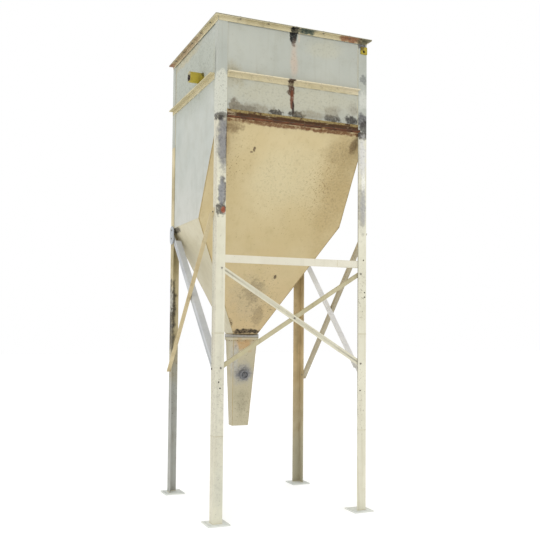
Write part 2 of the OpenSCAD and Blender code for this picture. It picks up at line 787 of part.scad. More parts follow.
// A flat frame of four bars round an opening, in the XY plane from z = 0
module bar_frame(w, d, h) {
    for (s = [-1, 1]) {
        translate([-w / 2 - bar_w, s * (d + bar_w) / 2 - bar_w / 2, 0]) cube([w + 2 * bar_w, bar_w, h]);
        translate([s * (w + bar_w) / 2 - bar_w / 2, -d / 2 + bar_gap, 0])
            cube([bar_w, d - 2 * bar_gap, h]);
    }
}
// Hinge halves, drawn with the pin along +X from the middle of the hinge
module fixed_knuckle(lug_drop) {
    rod_x(knuckle_r, -knuckle_len, 0);
    rod_x(pin_r, -eps, knuckle_len);
    translate([-knuckle_len, -knuckle_r, -lug_drop]) cube([knuckle_len, 2 * knuckle_r, lug_drop]);
}
module moving_knuckle(strap) {
    difference() {
        union() {
            rod_x(knuckle_r, weld_gap, knuckle_len);
            translate([weld_gap, -strap, -2]) cube([knuckle_len - weld_gap, strap, leaf_t]);
        }
        rod_x(pin_r + run_gap, 0, knuckle_len + eps);
    }
}
// Quarter-turn latch: lever, shaft and cam, with the shaft along +Z and the leaf's face at z = 0
module quarter_latch(cam_z) {
    hub_z = 10;
    translate([0, 0, cam_z]) cylinder(r = shaft_r, h = hub_z - cam_z + 12);
    translate([0, 0, hub_z]) cylinder(r = 14, h = 12);
    translate([-9, 0, hub_z + 2]) cube([18, lever_len, 8]);
    translate([-cam_w / 2, -cam_w / 2, cam_z]) cube([cam_w, cam_len, cam_t]);
}
module latch_boss() { cylinder(r = 16, h = 8); }

module hatch_hinges() {
    for (sx = [-1, 1]) translate([sx * hatch_w / 4, hatch_hinge_y, hatch_hinge_z]) children();
}
module hatch_curb() {
    color("gainsboro") {
        translate([0, -hatch_y, roof_top]) bar_frame(hatch_w, hatch_d, curb_h);
        hatch_hinges() fixed_knuckle(hatch_hinge_z - roof_top);
    }
}
module hatch_lid() {
    color("gainsboro") difference() {
        union() {
            translate([-hatch_w / 2 - bar_w, -hatch_y - hatch_d / 2 - bar_w, hatch_face - seal_t])
                cube([hatch_w + 2 * bar_w, hatch_d + 2 * bar_w, seal_t + leaf_t]);
            hatch_hinges() moving_knuckle(hinge_off + bar_w);
            hatch_latch_place() latch_boss();
        }
        hatch_latch_place() translate([0, 0, -band_w]) cylinder(r = shaft_r + run_gap, h = 2 * band_w);
    }
}
module hatch_latch_place() {
    translate([0, -hatch_y - hatch_d / 2 + latch_in, hatch_face + leaf_t]) children();
}
hatch_cam_z = -(leaf_t + seal_t + curb_h + roof_t + cam_gap + cam_t);
module hatch_latch() { color("dimgray") hatch_latch_place() rotate(90) quarter_latch(hatch_cam_z); }

// Closed cylinder with domed ends and a tapped boss for the air supply
module air_header() {
    wall = 6;
    dome = 22;
    foot_t = 10;
    end = header_len;
    color("steelblue") difference() {
        union() {
            translate([-header_len / 2, header_y, valve_z]) rotate([0, 90, 0]) rotate_extrude()
                polygon([[0, 0], [header_r - dome, 0], [header_r - wall, dome / 3], [header_r, dome],
                    [header_r, end - dome], [header_r - wall, end - dome / 3], [header_r - dome, end],
                    [supply_r + 9, end], [supply_r + 9, end + supply_len - wall],
                    [supply_r, end + supply_len - wall], [supply_r, end - wall],
                    [header_r - dome - 4, end - wall], [header_r - wall, end - dome],
                    [header_r - wall, dome], [header_r - dome - 4, wall], [0, wall]]);
            for (sx = [-1, 1])
                translate([sx * header_len * 0.36 - foot_t / 2, header_y - header_r, roof_top]) difference() {
                    cube([foot_t, 2 * header_r, valve_z - roof_top]);
                    translate([0, header_r, valve_z - roof_top])
                        rod_x(header_r - wall / 2, -eps, foot_t + eps);
                }
        }
        for (x = cart_x) translate([x, header_y, valve_z]) rod_y(pipe_r, -header_r - eps, -header_r + 14);
    }
}
module pulse_valves() {
    color("silver") for (x = cart_x) translate([x, drop_y, valve_z]) {
        translate([0, 0, -valve_r * 0.75]) cylinder(r = valve_r, h = valve_r * 1.1);
        translate([0, 0, valve_r * 0.35]) cylinder(r = valve_r + 8, h = 16);
        translate([0, 0, valve_r * 0.35 + 16]) cylinder(r = 18, h = 40);
        rod_y(pipe_r, 0, header_y - drop_y - header_r + 10);
    }
}
// Pipe over each row of cartridges, with a nozzle over each one
module blow_pipe(r, cut) {
    reach = cart_pitch_y / 2 + 60;
    translate([0, drop_y, pipe_z]) cylinder(r = r, h = valve_z - valve_r * 0.75 - pipe_z + cut);
    translate([0, 0, pipe_z]) rod_y(r, -reach + pipe_r - r, drop_y);
    translate([0, drop_y, pipe_z]) sphere(r = r);
}
module blow_pipes() {
    nozzle_r = 12;
    color("lightsteelblue") for (x = cart_x) translate([x, 0, 0]) difference() {
        union() {
            blow_pipe(pipe_r, 0);
            for (y = cart_y) translate([0, y, pipe_z - pipe_r - 24]) cylinder(r = nozzle_r, h = 30);
        }
        blow_pipe(pipe_r - pipe_wall, eps);
        for (y = cart_y) translate([0, y, pipe_z - pipe_r - 24 - eps])
            cylinder(r = nozzle_r - pipe_wall, h = 30);
    }
}

// ---------------------------------------------------------------- filters
module at_carts() { for (x = cart_x, y = cart_y) translate([x, y, sheet_top_z]) children(); }
module tube_sheet() {
    color("silver") difference() {
        translate([-in_x, -in_y, sheet_top_z - sheet_plate_t]) cube([2 * in_x, 2 * in_y, sheet_plate_t]);
        at_carts() translate([0, 0, -sheet_plate_t - eps])
            cylinder(r = cart_r + 2, h = sheet_plate_t + 2 * eps);
    }
}
module cartridge_caps() {
    color("gray") at_carts() {
        difference() {
            cylinder(r = cart_r + cap_lip, h = cap_t);
            translate([0, 0, -eps]) cylinder(r = core_r, h = cap_t + 2 * eps);
        }
        translate([0, 0, -cart_len]) difference() {
            cylinder(r = cart_r, h = cap_t);
            translate([0, 0, -eps]) cylinder(r = rod_r + 1, h = cap_t + 2 * eps);
        }
    }
}
module cartridge_media() {
    color("linen") at_carts() translate([0, 0, cap_t - cart_len])
        linear_extrude(cart_len - cap_t) difference() {
            polygon([for (i = [0 : 2 * pleats - 1]) let (a = 180 * i / pleats,
                r = i % 2 == 0 ? cart_r - 1 : cart_r - pleat_depth) [r * cos(a), r * sin(a)]]);
            circle(r = core_r);
        }
}
// Tie rod with a spider bar across the cap and a wing nut under the end cap
module cartridge_rods() {
    color("dimgray") at_carts() {
        translate([0, 0, -cart_len - 30]) cylinder(r = rod_r, h = cart_len + 30 + cap_t + 2);
        translate([-core_r - 10, -12, cap_t]) cube([2 * core_r + 20, 24, 6]);
        translate([0, 0, -cart_len - 14]) cylinder(r = 14, h = 13);
        translate([-34, -4, -cart_len - 13]) cube([68, 8, 10]);
    }
}

// ---------------------------------------------------------------- duct collars on the right wall
module collar(y, z) {
    translate([0, y, z]) difference() {
        union() {
            rod_x(duct_r, wall_x, collar_x);
            rod_x(duct_r + collar_flange, wall_x, wall_x + 4);
        }
        rod_x(duct_r - collar_t, wall_x - eps, collar_x + eps);
    }
}
module inlet_collar() { color("gainsboro") collar(inlet_y, inlet_z); }
module exhaust_collar() { color("gainsboro") collar(exhaust_y, exhaust_z); }

// ---------------------------------------------------------------- access door in the rear wall
module on_rear(z0) { translate([0, z0, door_z]) rotate([-90, 0, 0]) children(); }
module door_hinges() {
    for (sz = [-1, 1]) translate([door_hinge_x, door_hinge_y, door_z + sz * door_h * 0.34]) children();
}
module door_frame() {
    color("gainsboro") {
        on_rear(wall_y) bar_frame(door_w, door_h, door_frame_t);
        door_hinges() rotate([-90, 0, 0]) rotate(90) fixed_knuckle(door_hinge_y - wall_y);
    }
}
module door_seal() { color("black") on_rear(wall_y + door_frame_t) bar_frame(door_w, door_h, seal_t - 0.3); }
module access_door() {
    color("gainsboro") difference() {
        union() {
            translate([-door_w / 2 - bar_w, door_face, door_z - door_h / 2 - bar_w])
                cube([door_w + 2 * bar_w, leaf_t, door_h + 2 * bar_w]);
            door_hinges() rotate([-90, 0, 0]) rotate(90) moving_knuckle(hinge_off + bar_w);
            for (sz = [-1, 1]) door_latch_place(sz) latch_boss();
        }
        for (sz = [-1, 1]) door_latch_place(sz) translate([0, 0, -band_w])
            cylinder(r = shaft_r + run_gap, h = 2 * band_w);
    }
}
module door_latch_place(sz) {
    translate([door_w / 2 - latch_in, door_face + leaf_t, door_z + sz * door_h * 0.3])
        rotate([-90, 0, 0]) children();
}
door_cam_z = -(leaf_t + seal_t + door_frame_t + sheet_t + cam_gap + cam_t);
module door_latch_upper() { color("dimgray") door_latch_place(1) quarter_latch(door_cam_z); }
module door_latch_lower() { color("dimgray") door_latch_place(-1) quarter_latch(door_cam_z); }

leg_front_left();
leg_front_right();
leg_rear_left();
leg_rear_right();
base_plates();
corner_posts();
front_panel();
left_wall();
right_wall();
rear_wall();
hopper_front();
hopper_left();
hopper_right();
hopper_rear();
top_flange();
stiffener_band();
joint_angle();
joint_gasket();
hopper_flange();
joint_bolts();
outlet_flange();
outlet_gasket();
spout();
outlet_bolts();
port_coupling();
port_plug();
trunnion_left();
trunnion_right();
lifting_lug();
front_rail();
rail_splice();
front_brace_flat();
front_brace_angle();
left_brace_outer();
left_brace_inner();
right_brace_outer();
right_brace_inner();
brace_gussets();
brace_bolts();
roof_plate();
roof_gasket();
roof_bolts();
hatch_curb();
hatch_lid();
hatch_latch();
air_header();
pulse_valves();
blow_pipes();
tube_sheet();
cartridge_caps();
cartridge_media();
cartridge_rods();
inlet_collar();
exhaust_collar();
door_frame();
access_door();
door_seal();
door_latch_upper();
door_latch_lower();
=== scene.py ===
import bpy, bmesh, math, random
from mathutils import Matrix, Vector


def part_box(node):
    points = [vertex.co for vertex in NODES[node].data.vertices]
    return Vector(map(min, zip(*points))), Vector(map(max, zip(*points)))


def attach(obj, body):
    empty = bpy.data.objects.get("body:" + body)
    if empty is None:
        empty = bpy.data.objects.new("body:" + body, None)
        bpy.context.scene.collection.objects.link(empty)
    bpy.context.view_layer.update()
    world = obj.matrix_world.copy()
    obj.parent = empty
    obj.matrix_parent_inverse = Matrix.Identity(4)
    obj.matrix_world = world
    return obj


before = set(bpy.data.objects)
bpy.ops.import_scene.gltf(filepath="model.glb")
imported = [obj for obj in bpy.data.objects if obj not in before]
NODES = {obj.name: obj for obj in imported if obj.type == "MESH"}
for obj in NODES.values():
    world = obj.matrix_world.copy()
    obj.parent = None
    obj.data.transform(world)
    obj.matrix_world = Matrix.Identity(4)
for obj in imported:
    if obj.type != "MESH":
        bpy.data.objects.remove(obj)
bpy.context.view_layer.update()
scene = bpy.context.scene
rng = random.Random(31)


# ---------------------------------------------------------------- camera and light
def make_camera():
    """Standing viewer in front, left of the machine, looking a little up."""
    right = Vector((0.91983, -0.39224, 0.00846))
    back = Vector((-0.39139, -0.91890, -0.04931)).normalized()
    up = back.cross(right).normalized()
    right = up.cross(back).normalized()
    cam = bpy.data.objects.new("camera", bpy.data.cameras.new("camera"))
    scene.collection.objects.link(cam)
    m = Matrix((right, up, back)).transposed().to_4x4()
    m.translation = Vector((-2.955, -7.107, 1.721))
    cam.matrix_world = m
    cam.data.sensor_width = 36.0
    cam.data.lens = 51.01
    cam.data.shift_y = 0.037
    cam.data.clip_end = 200.0
    scene.camera = cam


def make_light():
    """White studio world with a soft key light and a weak one from the left."""
    world = bpy.data.worlds.new("studio")
    scene.world = world
    world.use_nodes = True
    bg = world.node_tree.nodes["Background"]
    bg.inputs["Color"].default_value = (1.0, 1.0, 1.0, 1.0)
    bg.inputs["Strength"].default_value = 1.0
    for name, pos, size, power, tint in (
            ("key", (-5.5, -8.0, 8.5), 5.0, 150.0, (1.0, 0.985, 0.95)),
            ("left", (-9.0, 1.0, 5.0), 5.0, 35.0, (0.98, 0.99, 1.0))):
        light = bpy.data.lights.new(name, "AREA")
        light.size = size
        light.energy = power
        light.color = tint
        ob = bpy.data.objects.new(name, light)
        scene.collection.objects.link(ob)
        ob.location = pos
        ob.rotation_euler = (Vector((0, 0, 2.6)) - Vector(pos)).to_track_quat("-Z", "Y").to_euler()


# ---------------------------------------------------------------- material helpers
def rgb(code, k=1.0):
    """Linear colour, k times as bright, of a six-digit display colour."""
    out = []
    for i in (0, 2, 4):
        c = int(code[i:i + 2], 16) / 255.0
        c = c / 12.92 if c <= 0.04045 else ((c + 0.055) / 1.055) ** 2.4
        out.append(min(c * k, 0.98))
    return (*out, 1.0)


class Graph:
    """Small helper round one material's node tree."""

    def __init__(self, name):
        self.mat = bpy.data.materials.new(name)
        self.mat.use_nodes = True
        self.t = self.mat.node_tree
        self.bsdf = self.t.nodes["Principled BSDF"]
        self.pos = self.t.nodes.new("ShaderNodeTexCoord").outputs["Object"]

    def node(self, kind, **props):
        n = self.t.nodes.new(kind)
        for k, v in props.items():
            setattr(n, k, v)
        return n

    def put(self, socket, value):
        if isinstance(value, bpy.types.NodeSocket):
            self.t.links.new(value, socket)
        else:
            socket.default_value = value

    def math(self, op, a, b=0.0, clamp=False):
        n = self.node("ShaderNodeMath", operation=op, use_clamp=clamp)
        self.put(n.inputs[0], a)
        self.put(n.inputs[1], b)
        return n.outputs[0]

    def vec(self, op, a, b):
        n = self.node("ShaderNodeVectorMath", operation=op)
        self.put(n.inputs[0], a)
        self.put(n.inputs[1], b)
        return n.outputs["Value"] if op == "LENGTH" else n.outputs["Vector"]

    def noise(self, scale, detail=4.0, stretch=None, rough=0.55, shift=0.0):
        p = self.pos
        if stretch:
            p = self.vec("MULTIPLY", p, stretch)
        if shift:
            p = self.vec("ADD", p, (shift, shift * 0.7, -shift))
        n = self.node("ShaderNodeTexNoise")
        self.put(n.inputs["Vector"], p)
        n.inputs["Scale"].default_value = scale
        n.inputs["Detail"].default_value = detail
        n.inputs["Roughness"].default_value = rough
        return n.outputs["Fac"]

    def range(self, v, lo, hi, a=0.0, b=1.0):
        n = self.node("ShaderNodeMapRange", interpolation_type="SMOOTHSTEP")
        self.put(n.inputs["Value"], v)
        n.inputs["From Min"].default_value = lo
        n.inputs["From Max"].default_value = hi
        n.inputs["To Min"].default_value = a
        n.inputs["To Max"].default_value = b
        return n.outputs["Result"]

    def mix(self, fac, a, b):
        n = self.node("ShaderNodeMix", data_type="RGBA", blend_type="MIX")
        self.put(n.inputs["Factor"], fac)
        self.put(n.inputs["A"], a)
        self.put(n.inputs["B"], b)
        return n.outputs["Result"]

    def blob(self, centre, radii, wobble=0.5, soft=0.35, scale=14.0, shift=0.0):
        """1 inside a ragged ellipsoid, 0 outside it."""
        d = self.vec("DIVIDE", self.vec("SUBTRACT", self.pos, centre), radii)
        dist = self.vec("LENGTH", d, (0, 0, 0))
        n = self.noise(scale, 5.0, shift=shift)
        v = self.math("ADD", dist, self.math("MULTIPLY", self.math("SUBTRACT", n, 0.5), 2.6 * wobble))
        return self.range(v, 1.0 - soft, 1.0 + soft, 1.0, 0.0)

    def bump(self, parts):
        """parts: (height socket, strength, distance), chained."""
        last = None
        for h, strength, dist in parts:
            n = self.node("ShaderNodeBump")
            n.inputs["Strength"].default_value = strength
            n.inputs["Distance"].default_value = dist
            self.put(n.inputs["Height"], h)
            if last:
                self.put(n.inputs["Normal"], last)
            last = n.outputs["Normal"]
        self.put(self.bsdf.inputs["Normal"], last)


RUST = "6b3d1c"


def paint(name, base, alt, dirt="8a8062", streak=0.35, speck=0.25, rust=0.2, wavy=0.25, stains_and_painted_light=(), shift=0.0,
          grad=None, freckles=()):
    """Old brushed enamel on steel: blotches, run marks, specks, chips down to rust, orange peel and waves.

    stains_and_painted_light: (centre, radii, colour, amount, wobble, softness, noise scale), painted over one
    another; real stains, and some painted shade and highlights.
    grad: (axis, lo, hi, colour, amount), the colour reached below lo.
    freckles: (centre, radii, colour, amount).
    """
    g = Graph(name)
    big = g.noise(1.7, 5.0, shift=shift + 0.3)
    mid = g.noise(7.0, 6.0, shift=shift + 2.1)
    col = g.mix(g.range(big, 0.3, 0.7), rgb(base), rgb(alt))
    if grad:
        axis, lo, hi, code, amount = grad
        sep = g.node("ShaderNodeSeparateXYZ")
        g.put(sep.inputs[0], g.pos)
        lift = g.math("ADD", sep.outputs[axis], g.math("MULTIPLY", g.math("SUBTRACT", mid, 0.5), 0.5))
        col = g.mix(g.range(lift, lo, hi, amount, 0.0), col, rgb(code))
    cloud = g.range(mid, 0.45, 0.75, 0.0, streak * 0.6)
    col = g.mix(cloud, col, rgb(dirt))
    runs = g.noise(9.0, 5.0, stretch=(3.0, 3.0, 0.16), shift=shift + 4.0)
    col = g.mix(g.range(runs, 0.52, 0.78, 0.0, streak), col, rgb(dirt))
    fine = g.noise(55.0, 6.0, shift=shift + 1.0, rough=0.65)
    spots = g.math("MULTIPLY", g.range(fine, 0.63, 0.70), g.range(mid, 0.40, 0.62))
    col = g.mix(g.math("MULTIPLY", spots, speck), col, rgb("6d5f45"))
    chips = g.noise(120.0, 4.0, shift=shift + 6.0, rough=0.6)
    chip_dots = g.range(chips, 0.66, 0.70)
    chip = g.math("MULTIPLY", chip_dots, g.range(g.noise(4.0, 3.0, shift=shift + 9.0), 0.50, 0.64))
    col = g.mix(g.math("MULTIPLY", chip, rust), col, rgb(RUST))
    stain_and_shade_mask = None
    rag = g.noise(46.0, 6.0, shift=shift + 5.5, rough=0.7)
    for i, (centre, radii, code, amount) in enumerate(freckles):
        zone = g.blob(centre, radii, 0.5, 0.9, 6.0, shift=0.2 * i)
        more = 0.07 * amount
        dots = g.range(g.noise(62.0, 4.0, shift=shift + i, rough=0.6), 0.67 - more, 0.73 - more)
        col = g.mix(g.math("MULTIPLY", g.math("MULTIPLY", zone, dots), 0.8), col, rgb(code))
    # Real stains and the painted shade and highlight marks, laid over the paint and made a little rougher.
    for i, s in enumerate(stains_and_painted_light):
        centre, radii, code, amount = s[:4]
        wob, soft, sc = (tuple(s[4:]) + (0.5, 0.35, 16.0))[:3] if len(s) > 4 else (0.5, 0.35, 16.0)
        m = g.math("MULTIPLY", g.blob(centre, radii, wob, soft, sc, shift=0.37 * i), amount)
        m = g.math("MULTIPLY", m, g.range(rag, 0.30, 0.52, 0.55, 1.0))
        tone = g.mix(g.range(rag, 0.50, 0.66), rgb(code), rgb(code, 0.62))
        col = g.mix(m, col, tone)
        stain_and_shade_mask = m if stain_and_shade_mask is None else g.math("MAXIMUM", stain_and_shade_mask, m)
    g.put(g.bsdf.inputs["Base Color"], col)
    r = g.math("ADD", g.range(mid, 0.3, 0.7, 0.47, 0.67), g.math("MULTIPLY", spots, 0.15))
    if stain_and_shade_mask is not None:
        r = g.math("ADD", r, g.math("MULTIPLY", stain_and_shade_mask, 0.2), clamp=True)
    g.put(g.bsdf.inputs["Roughness"], r)
    g.bsdf.inputs["Specular IOR Level"].default_value = 0.35
    peel = g.noise(420.0, 2.0, shift=shift)
    lumps = g.math("ADD", g.math("MULTIPLY", spots, -0.6), g.math("MULTIPLY", chip, -1.0))
    g.bump([(g.noise(2.6, 2.0, shift=shift + 3.0), wavy, 0.02), (peel, 0.06, 0.001), (lumps, 0.25, 0.001)])
    return g.mat


def rusty(name, tones=("563911", "52320b", "8a5c2c"), paint_code="b9a884", left=0.25, shift=0.0, strip=None):
    """Scaled steel: layered brown rust with pits and some paint left on it."""
    g = Graph(name)
    a = g.noise(11.0, 8.0, shift=shift, rough=0.65)
    b = g.noise(60.0, 8.0, shift=shift + 3.0, rough=0.7)
    col = g.mix(g.range(a, 0.38, 0.62), rgb(tones[0]), rgb(tones[1]))
    col = g.mix(g.range(b, 0.52, 0.66, 0.0, 0.75), col, rgb(tones[2]))
    col = g.mix(g.range(g.noise(24.0, 5.0, shift=shift + 7.0), 0.60, 0.72, 0.0, 0.8), col, rgb("2a1a0e"))
    keep = g.range(g.noise(6.0, 7.0, shift=shift + 5.0, stretch=(1.0, 1.0, 2.2)), 0.56, 0.64, 0.0, left * 3.0)
    col = g.mix(keep, col, rgb(paint_code))
    if strip:
        sep = g.node("ShaderNodeSeparateXYZ")
        g.put(sep.inputs[0], g.pos)
        edge = g.math("ADD", sep.outputs[2], g.math("MULTIPLY", g.math("SUBTRACT", a, 0.5), 0.05))
        up = g.range(edge, strip[0] - 0.006, strip[0] + 0.004)
        up = g.math("MULTIPLY", up, g.range(g.noise(13.0, 5.0, shift=shift + 8.0), 0.36, 0.46))
        col = g.mix(up, col, g.mix(g.range(b, 0.4, 0.62), rgb(strip[1]), rgb(strip[2])))
    g.put(g.bsdf.inputs["Base Color"], col)
    g.put(g.bsdf.inputs["Roughness"], g.range(b, 0.3, 0.7, 0.78, 0.95))
    g.bump([(a, 0.35, 0.004), (b, 0.5, 0.0015)])
    return g.mat


def metal(name, code, rough=0.4, dull="6f6a60", amount=0.4, brushed=None, metallic=1.0):
    """Bare or plated metal with dulling, fine scratches and dirt."""
    g = Graph(name)
    cloud = g.noise(16.0, 6.0)
    fine = g.noise(150.0, 3.0, stretch=brushed, shift=2.0)
    col = g.mix(g.range(cloud, 0.42, 0.7, 0.0, amount), rgb(code), rgb(dull))
    col = g.mix(g.range(fine, 0.4, 0.7, 0.0, 0.25), col, rgb("3a352e"))
    g.put(g.bsdf.inputs["Base Color"], col)
    g.bsdf.inputs["Metallic"].default_value = metallic
    g.put(g.bsdf.inputs["Roughness"], g.range(cloud, 0.3, 0.7, rough, rough + 0.25))
    g.bump([(fine, 0.12, 0.0006), (cloud, 0.1, 0.002)])
    return g.mat


def rubber(name, code="2b2a27", shift=0.0):
    """Dusty matt rubber."""
    g = Graph(name)
    n = g.noise(90.0, 6.0, shift=shift)
    dust = g.noise(12.0, 5.0, shift=shift + 2.0)
    col = g.mix(g.range(n, 0.4, 0.7), rgb(code), rgb("3d3a34"))
    col = g.mix(g.range(dust, 0.5, 0.75, 0.0, 0.5), col, rgb("857a62"))
    g.put(g.bsdf.inputs["Base Color"], col)
    g.put(g.bsdf.inputs["Roughness"], g.range(dust, 0.3, 0.7, 0.7, 0.92))
    g.bump([(n, 0.3, 0.0008)])
    return g.mat


def felt(name):
    """Pleated filter felt, grey with dust low in the folds."""
    g = Graph(name)
    weave = g.noise(700.0, 3.0)
    dust = g.noise(5.0, 6.0, stretch=(1.0, 1.0, 0.5))
    col = g.mix(g.range(dust, 0.4, 0.7), rgb("d9d5c6"), rgb("b5a98b"))
    col = g.mix(g.range(weave, 0.35, 0.7, 0.0, 0.35), col, rgb("8d8471"))
    g.put(g.bsdf.inputs["Base Color"], col)
    g.put(g.bsdf.inputs["Roughness"], g.range(weave, 0.3, 0.7, 0.85, 0.98))
    g.bump([(weave, 0.4, 0.0006), (dust, 0.2, 0.003)])
    return g.mat


# ---------------------------------------------------------------- geometry helpers
def add_object(name, bm, mat, body="frame"):
    """Turn bm into a smooth-shaded piece that rides on a body."""
    mesh = bpy.data.meshes.new(name)
    bmesh.ops.recalc_face_normals(bm, faces=bm.faces)
    bm.to_mesh(mesh)
    bm.free()
    for p in mesh.polygons:
        p.use_smooth = True
    ob = bpy.data.objects.new(name, mesh)
    scene.collection.objects.link(ob)
    mesh.materials.append(mat)
    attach(ob, body)
    return ob


def sweep(bm, pts, radius, sides=8, closed=False):
    """Tube along pts; radius is a number or a function of the share of the way along."""
    pts = [Vector(p) for p in pts]
    n = len(pts)
    rings = []
    side = None
    for i, p in enumerate(pts):
        a = pts[(i - 1) % n] if closed or i else pts[0]
        b = pts[(i + 1) % n] if closed or i < n - 1 else pts[-1]
        t = (b - a).normalized()
        if side is None:
            side = t.orthogonal().normalized()
        side = (side - t * side.dot(t)).normalized()
        other = t.cross(side)
        r = radius(i / (n - 1)) if callable(radius) else radius
        rings.append([bm.verts.new(p + (side * math.cos(q) + other * math.sin(q)) * r)
                      for q in (2 * math.pi * k / sides for k in range(sides))])
    for i in range(n if closed else n - 1):
        r0, r1 = rings[i], rings[(i + 1) % n]
        for k in range(sides):
            bm.faces.new((r0[k], r0[(k + 1) % sides], r1[(k + 1) % sides], r1[k]))
    if not closed:
        bm.faces.new(rings[0][::-1])
        bm.faces.new(rings[-1])


def bead(bm, a, b, r=0.004):
    """Weld bead from a to b, with overlapping ripples and a slightly uneven width."""
    ripple = 0.009
    a, b = Vector(a), Vector(b)
    n = max(4, int((b - a).length / ripple) * 2)
    seed = rng.random() * 9
    pts = [a.lerp(b, i / n) for i in range(n + 1)]
    sweep(bm, pts, lambda u: r * (0.9 + 0.16 * math.sin(u * n * math.pi) + 0.1 * math.sin(u * 23 + seed)), 6)


def ring_bead(bm, centre, axis, radius, r=0.004, n=48):
    """Rippled weld bead round a circle."""
    axis = Vector(axis).normalized()
    u = axis.orthogonal().normalized()
    v = axis.cross(u)
    pts = [Vector(centre) + (u * math.cos(q) + v * math.sin(q)) * radius
           for q in (2 * math.pi * i / n for i in range(n))]
    sweep(bm, pts, lambda s: r * (0.9 + 0.15 * math.sin(s * n * math.pi)), 6, closed=True)


def rounded_box(bm, lo, hi, r=0.002, seg=2):
    """Box with bevelled edges."""
    lo, hi = Vector(lo), Vector(hi)
    made = bmesh.ops.create_cube(bm, size=1.0)
    verts = made["verts"]
    for v in verts:
        v.co = Vector([lo[i] + (v.co[i] + 0.5) * (hi[i] - lo[i]) for i in range(3)])
    edges = list({e for v in verts for e in v.link_edges})
    bmesh.ops.bevel(bm, geom=edges, offset=r, segments=seg, affect="EDGES", profile=0.6)


def disc(bm, centre, axis, profile, n=24):
    """Turned shape: profile is (radius, height) pairs along axis from centre."""
    axis = Vector(axis).normalized()
    u = axis.orthogonal().normalized()
    v = axis.cross(u)
    rings = []
    for r, h in profile:
        c = Vector(centre) + axis * h
        if r < 1e-6:
            rings.append([bm.verts.new(c)])
        else:
            rings.append([bm.verts.new(c + (u * math.cos(q) + v * math.sin(q)) * r)
                          for q in (2 * math.pi * i / n for i in range(n))])
    for a, b in zip(rings, rings[1:]):
        for i in range(n):
            j = (i + 1) % n
            if len(a) == 1:
                bm.faces.new((a[0], b[i], b[j]))
            elif len(b) == 1:
                bm.faces.new((a[i], a[j], b[0]))
            else:
                bm.faces.new((a[i], a[j], b[j], b[i]))
    for end in (rings[0], rings[-1]):
        if len(end) > 1:
            bm.faces.new(end)


def soften(node, width=0.0012, seg=2):
    """Rolled edges on a CAD node."""
    o = NODES[node]
    w = o.modifiers.new("join", "WELD")
    w.merge_threshold = 0.00002
    b = o.modifiers.new("edge", "BEVEL")
    b.width = width
    b.segments = seg
    b.limit_method = "ANGLE"
    b.angle_limit = math.radians(40)
    b.harden_normals = False


def dress(mat, *names):
    """Put mat on every slot of the named CAD nodes."""
    for n in names:
        for s in NODES[n].material_slots:
            s.material = mat


def lo_hi(node):
    """Lower and upper corner of a CAD node's box."""
    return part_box(node)


# ---------------------------------------------------------------- sizes read from the model
LEG_LO, LEG_HI = lo_hi("leg_front_right")
PANEL_LO, PANEL_HI = lo_hi("front_panel")
BAND_LO, BAND_HI = lo_hi("stiffener_band")
REAR_LO, REAR_HI = lo_hi("hopper_rear")
HOP_HI = lo_hi("hopper_front")[1]
SPOUT_LO = lo_hi("spout")[0]
CART_PITCH = 0.47                                   # across the machine, between filter columns
COLLARS = ("inlet_collar", "exhaust_collar")
HALF_W, HALF_D = LEG_HI.x, -LEG_LO.y
LEG = LEG_HI.x - LEG_LO.x
FOOT_Z = LEG_LO.z
WX, WY = -lo_hi("left_wall")[0].x, -PANEL_LO.y      # outer faces of the walls
JOINT = PANEL_LO.z                                  # bolted joint under the front panel
KNEE = REAR_HI.z                                    # where the walls end and the hopper's sides turn in
OUT_X, OUT_Y, OUT_Z = 0.135, HOP_HI.y, REAR_LO.z    # half width, front edge and height of the outlet
SLOPE_TOP = HOP_HI.z
SLOPE_BACK = 0.004                                  # the face is taken this far before the sheet's edge
SLOPE = (OUT_Y - SLOPE_BACK + WY) / (SLOPE_TOP - OUT_Z)


def slope_y(z):
    """Outer face of the hopper's sloping front at height z."""
    return -WY + SLOPE * (SLOPE_TOP - z)


# ---------------------------------------------------------------- materials
CREAM, CREAM2 = "dddac6", "d2cfba"
PRIMER = "9a5238"
SLATE, ASH = "4e4c50", "a7a6a4"

leg_fl = paint("leg_fl_paint", CREAM, CREAM2, "a89f82",
               streak=0.30, speck=0.45, rust=0.35, shift=0.0, stains_and_painted_light=(
    # painted shade: the leg's outer left side drawn greyer and darker than its front, for the weaker light on
    # it
    ((-0.762, -0.69, 2.30), (0.007, 0.06, 1.90), "c4bfad", 0.75, 0.3, 0.4, 10.0),
    ((-0.715, -0.73, 1.00), (0.06, 0.06, 0.60), "c6c3b3", 0.50, 0.4, 0.6, 6.0),
    ((-0.705, -0.73, 3.40), (0.050, 0.05, 0.230), SLATE, 0.85, 0.7, 0.5, 20.0),
    ((-0.712, -0.73, 3.38), (0.042, 0.05, 0.200), "8d8c8b", 0.85, 0.8, 0.5, 22.0),
    ((-0.745, -0.73, 3.605), (0.055, 0.08, 0.035), "2c2622", 0.9, 0.5, 0.3, 30.0),
    ((-0.672, -0.73, 3.35), (0.008, 0.05, 0.27), "33271e", 0.8, 0.5, 0.4, 24.0),
    ((-0.705, -0.73, 2.91), (0.040, 0.05, 0.140), SLATE, 0.85, 0.7, 0.3, 24.0),
    ((-0.715, -0.73, 2.93), (0.026, 0.05, 0.110), "8f9092", 0.8, 0.7, 0.3, 30.0),
    ((-0.715, -0.73, 2.765), (0.050, 0.05, 0.050), "3d3733", 0.85, 0.7, 0.3, 34.0),
    ((-0.698, -0.73, 2.765), (0.020, 0.03, 0.028), PRIMER, 0.95, 0.4, 0.3, 40.0),
    ((-0.71, -0.73, 0.30), (0.05, 0.05, 0.20), "aeb3aa", 0.3, 0.7, 0.7, 10.0)),
    freckles=(((-0.715, -0.72, 1.15), (0.07, 0.07, 0.22), "5a4f40", 0.9),
              ((-0.715, -0.72, 0.40), (0.07, 0.07, 0.30), "6d6350", 0.7),
              ((-0.715, -0.72, 3.08), (0.07, 0.07, 0.14), "8a8070", 0.8)))
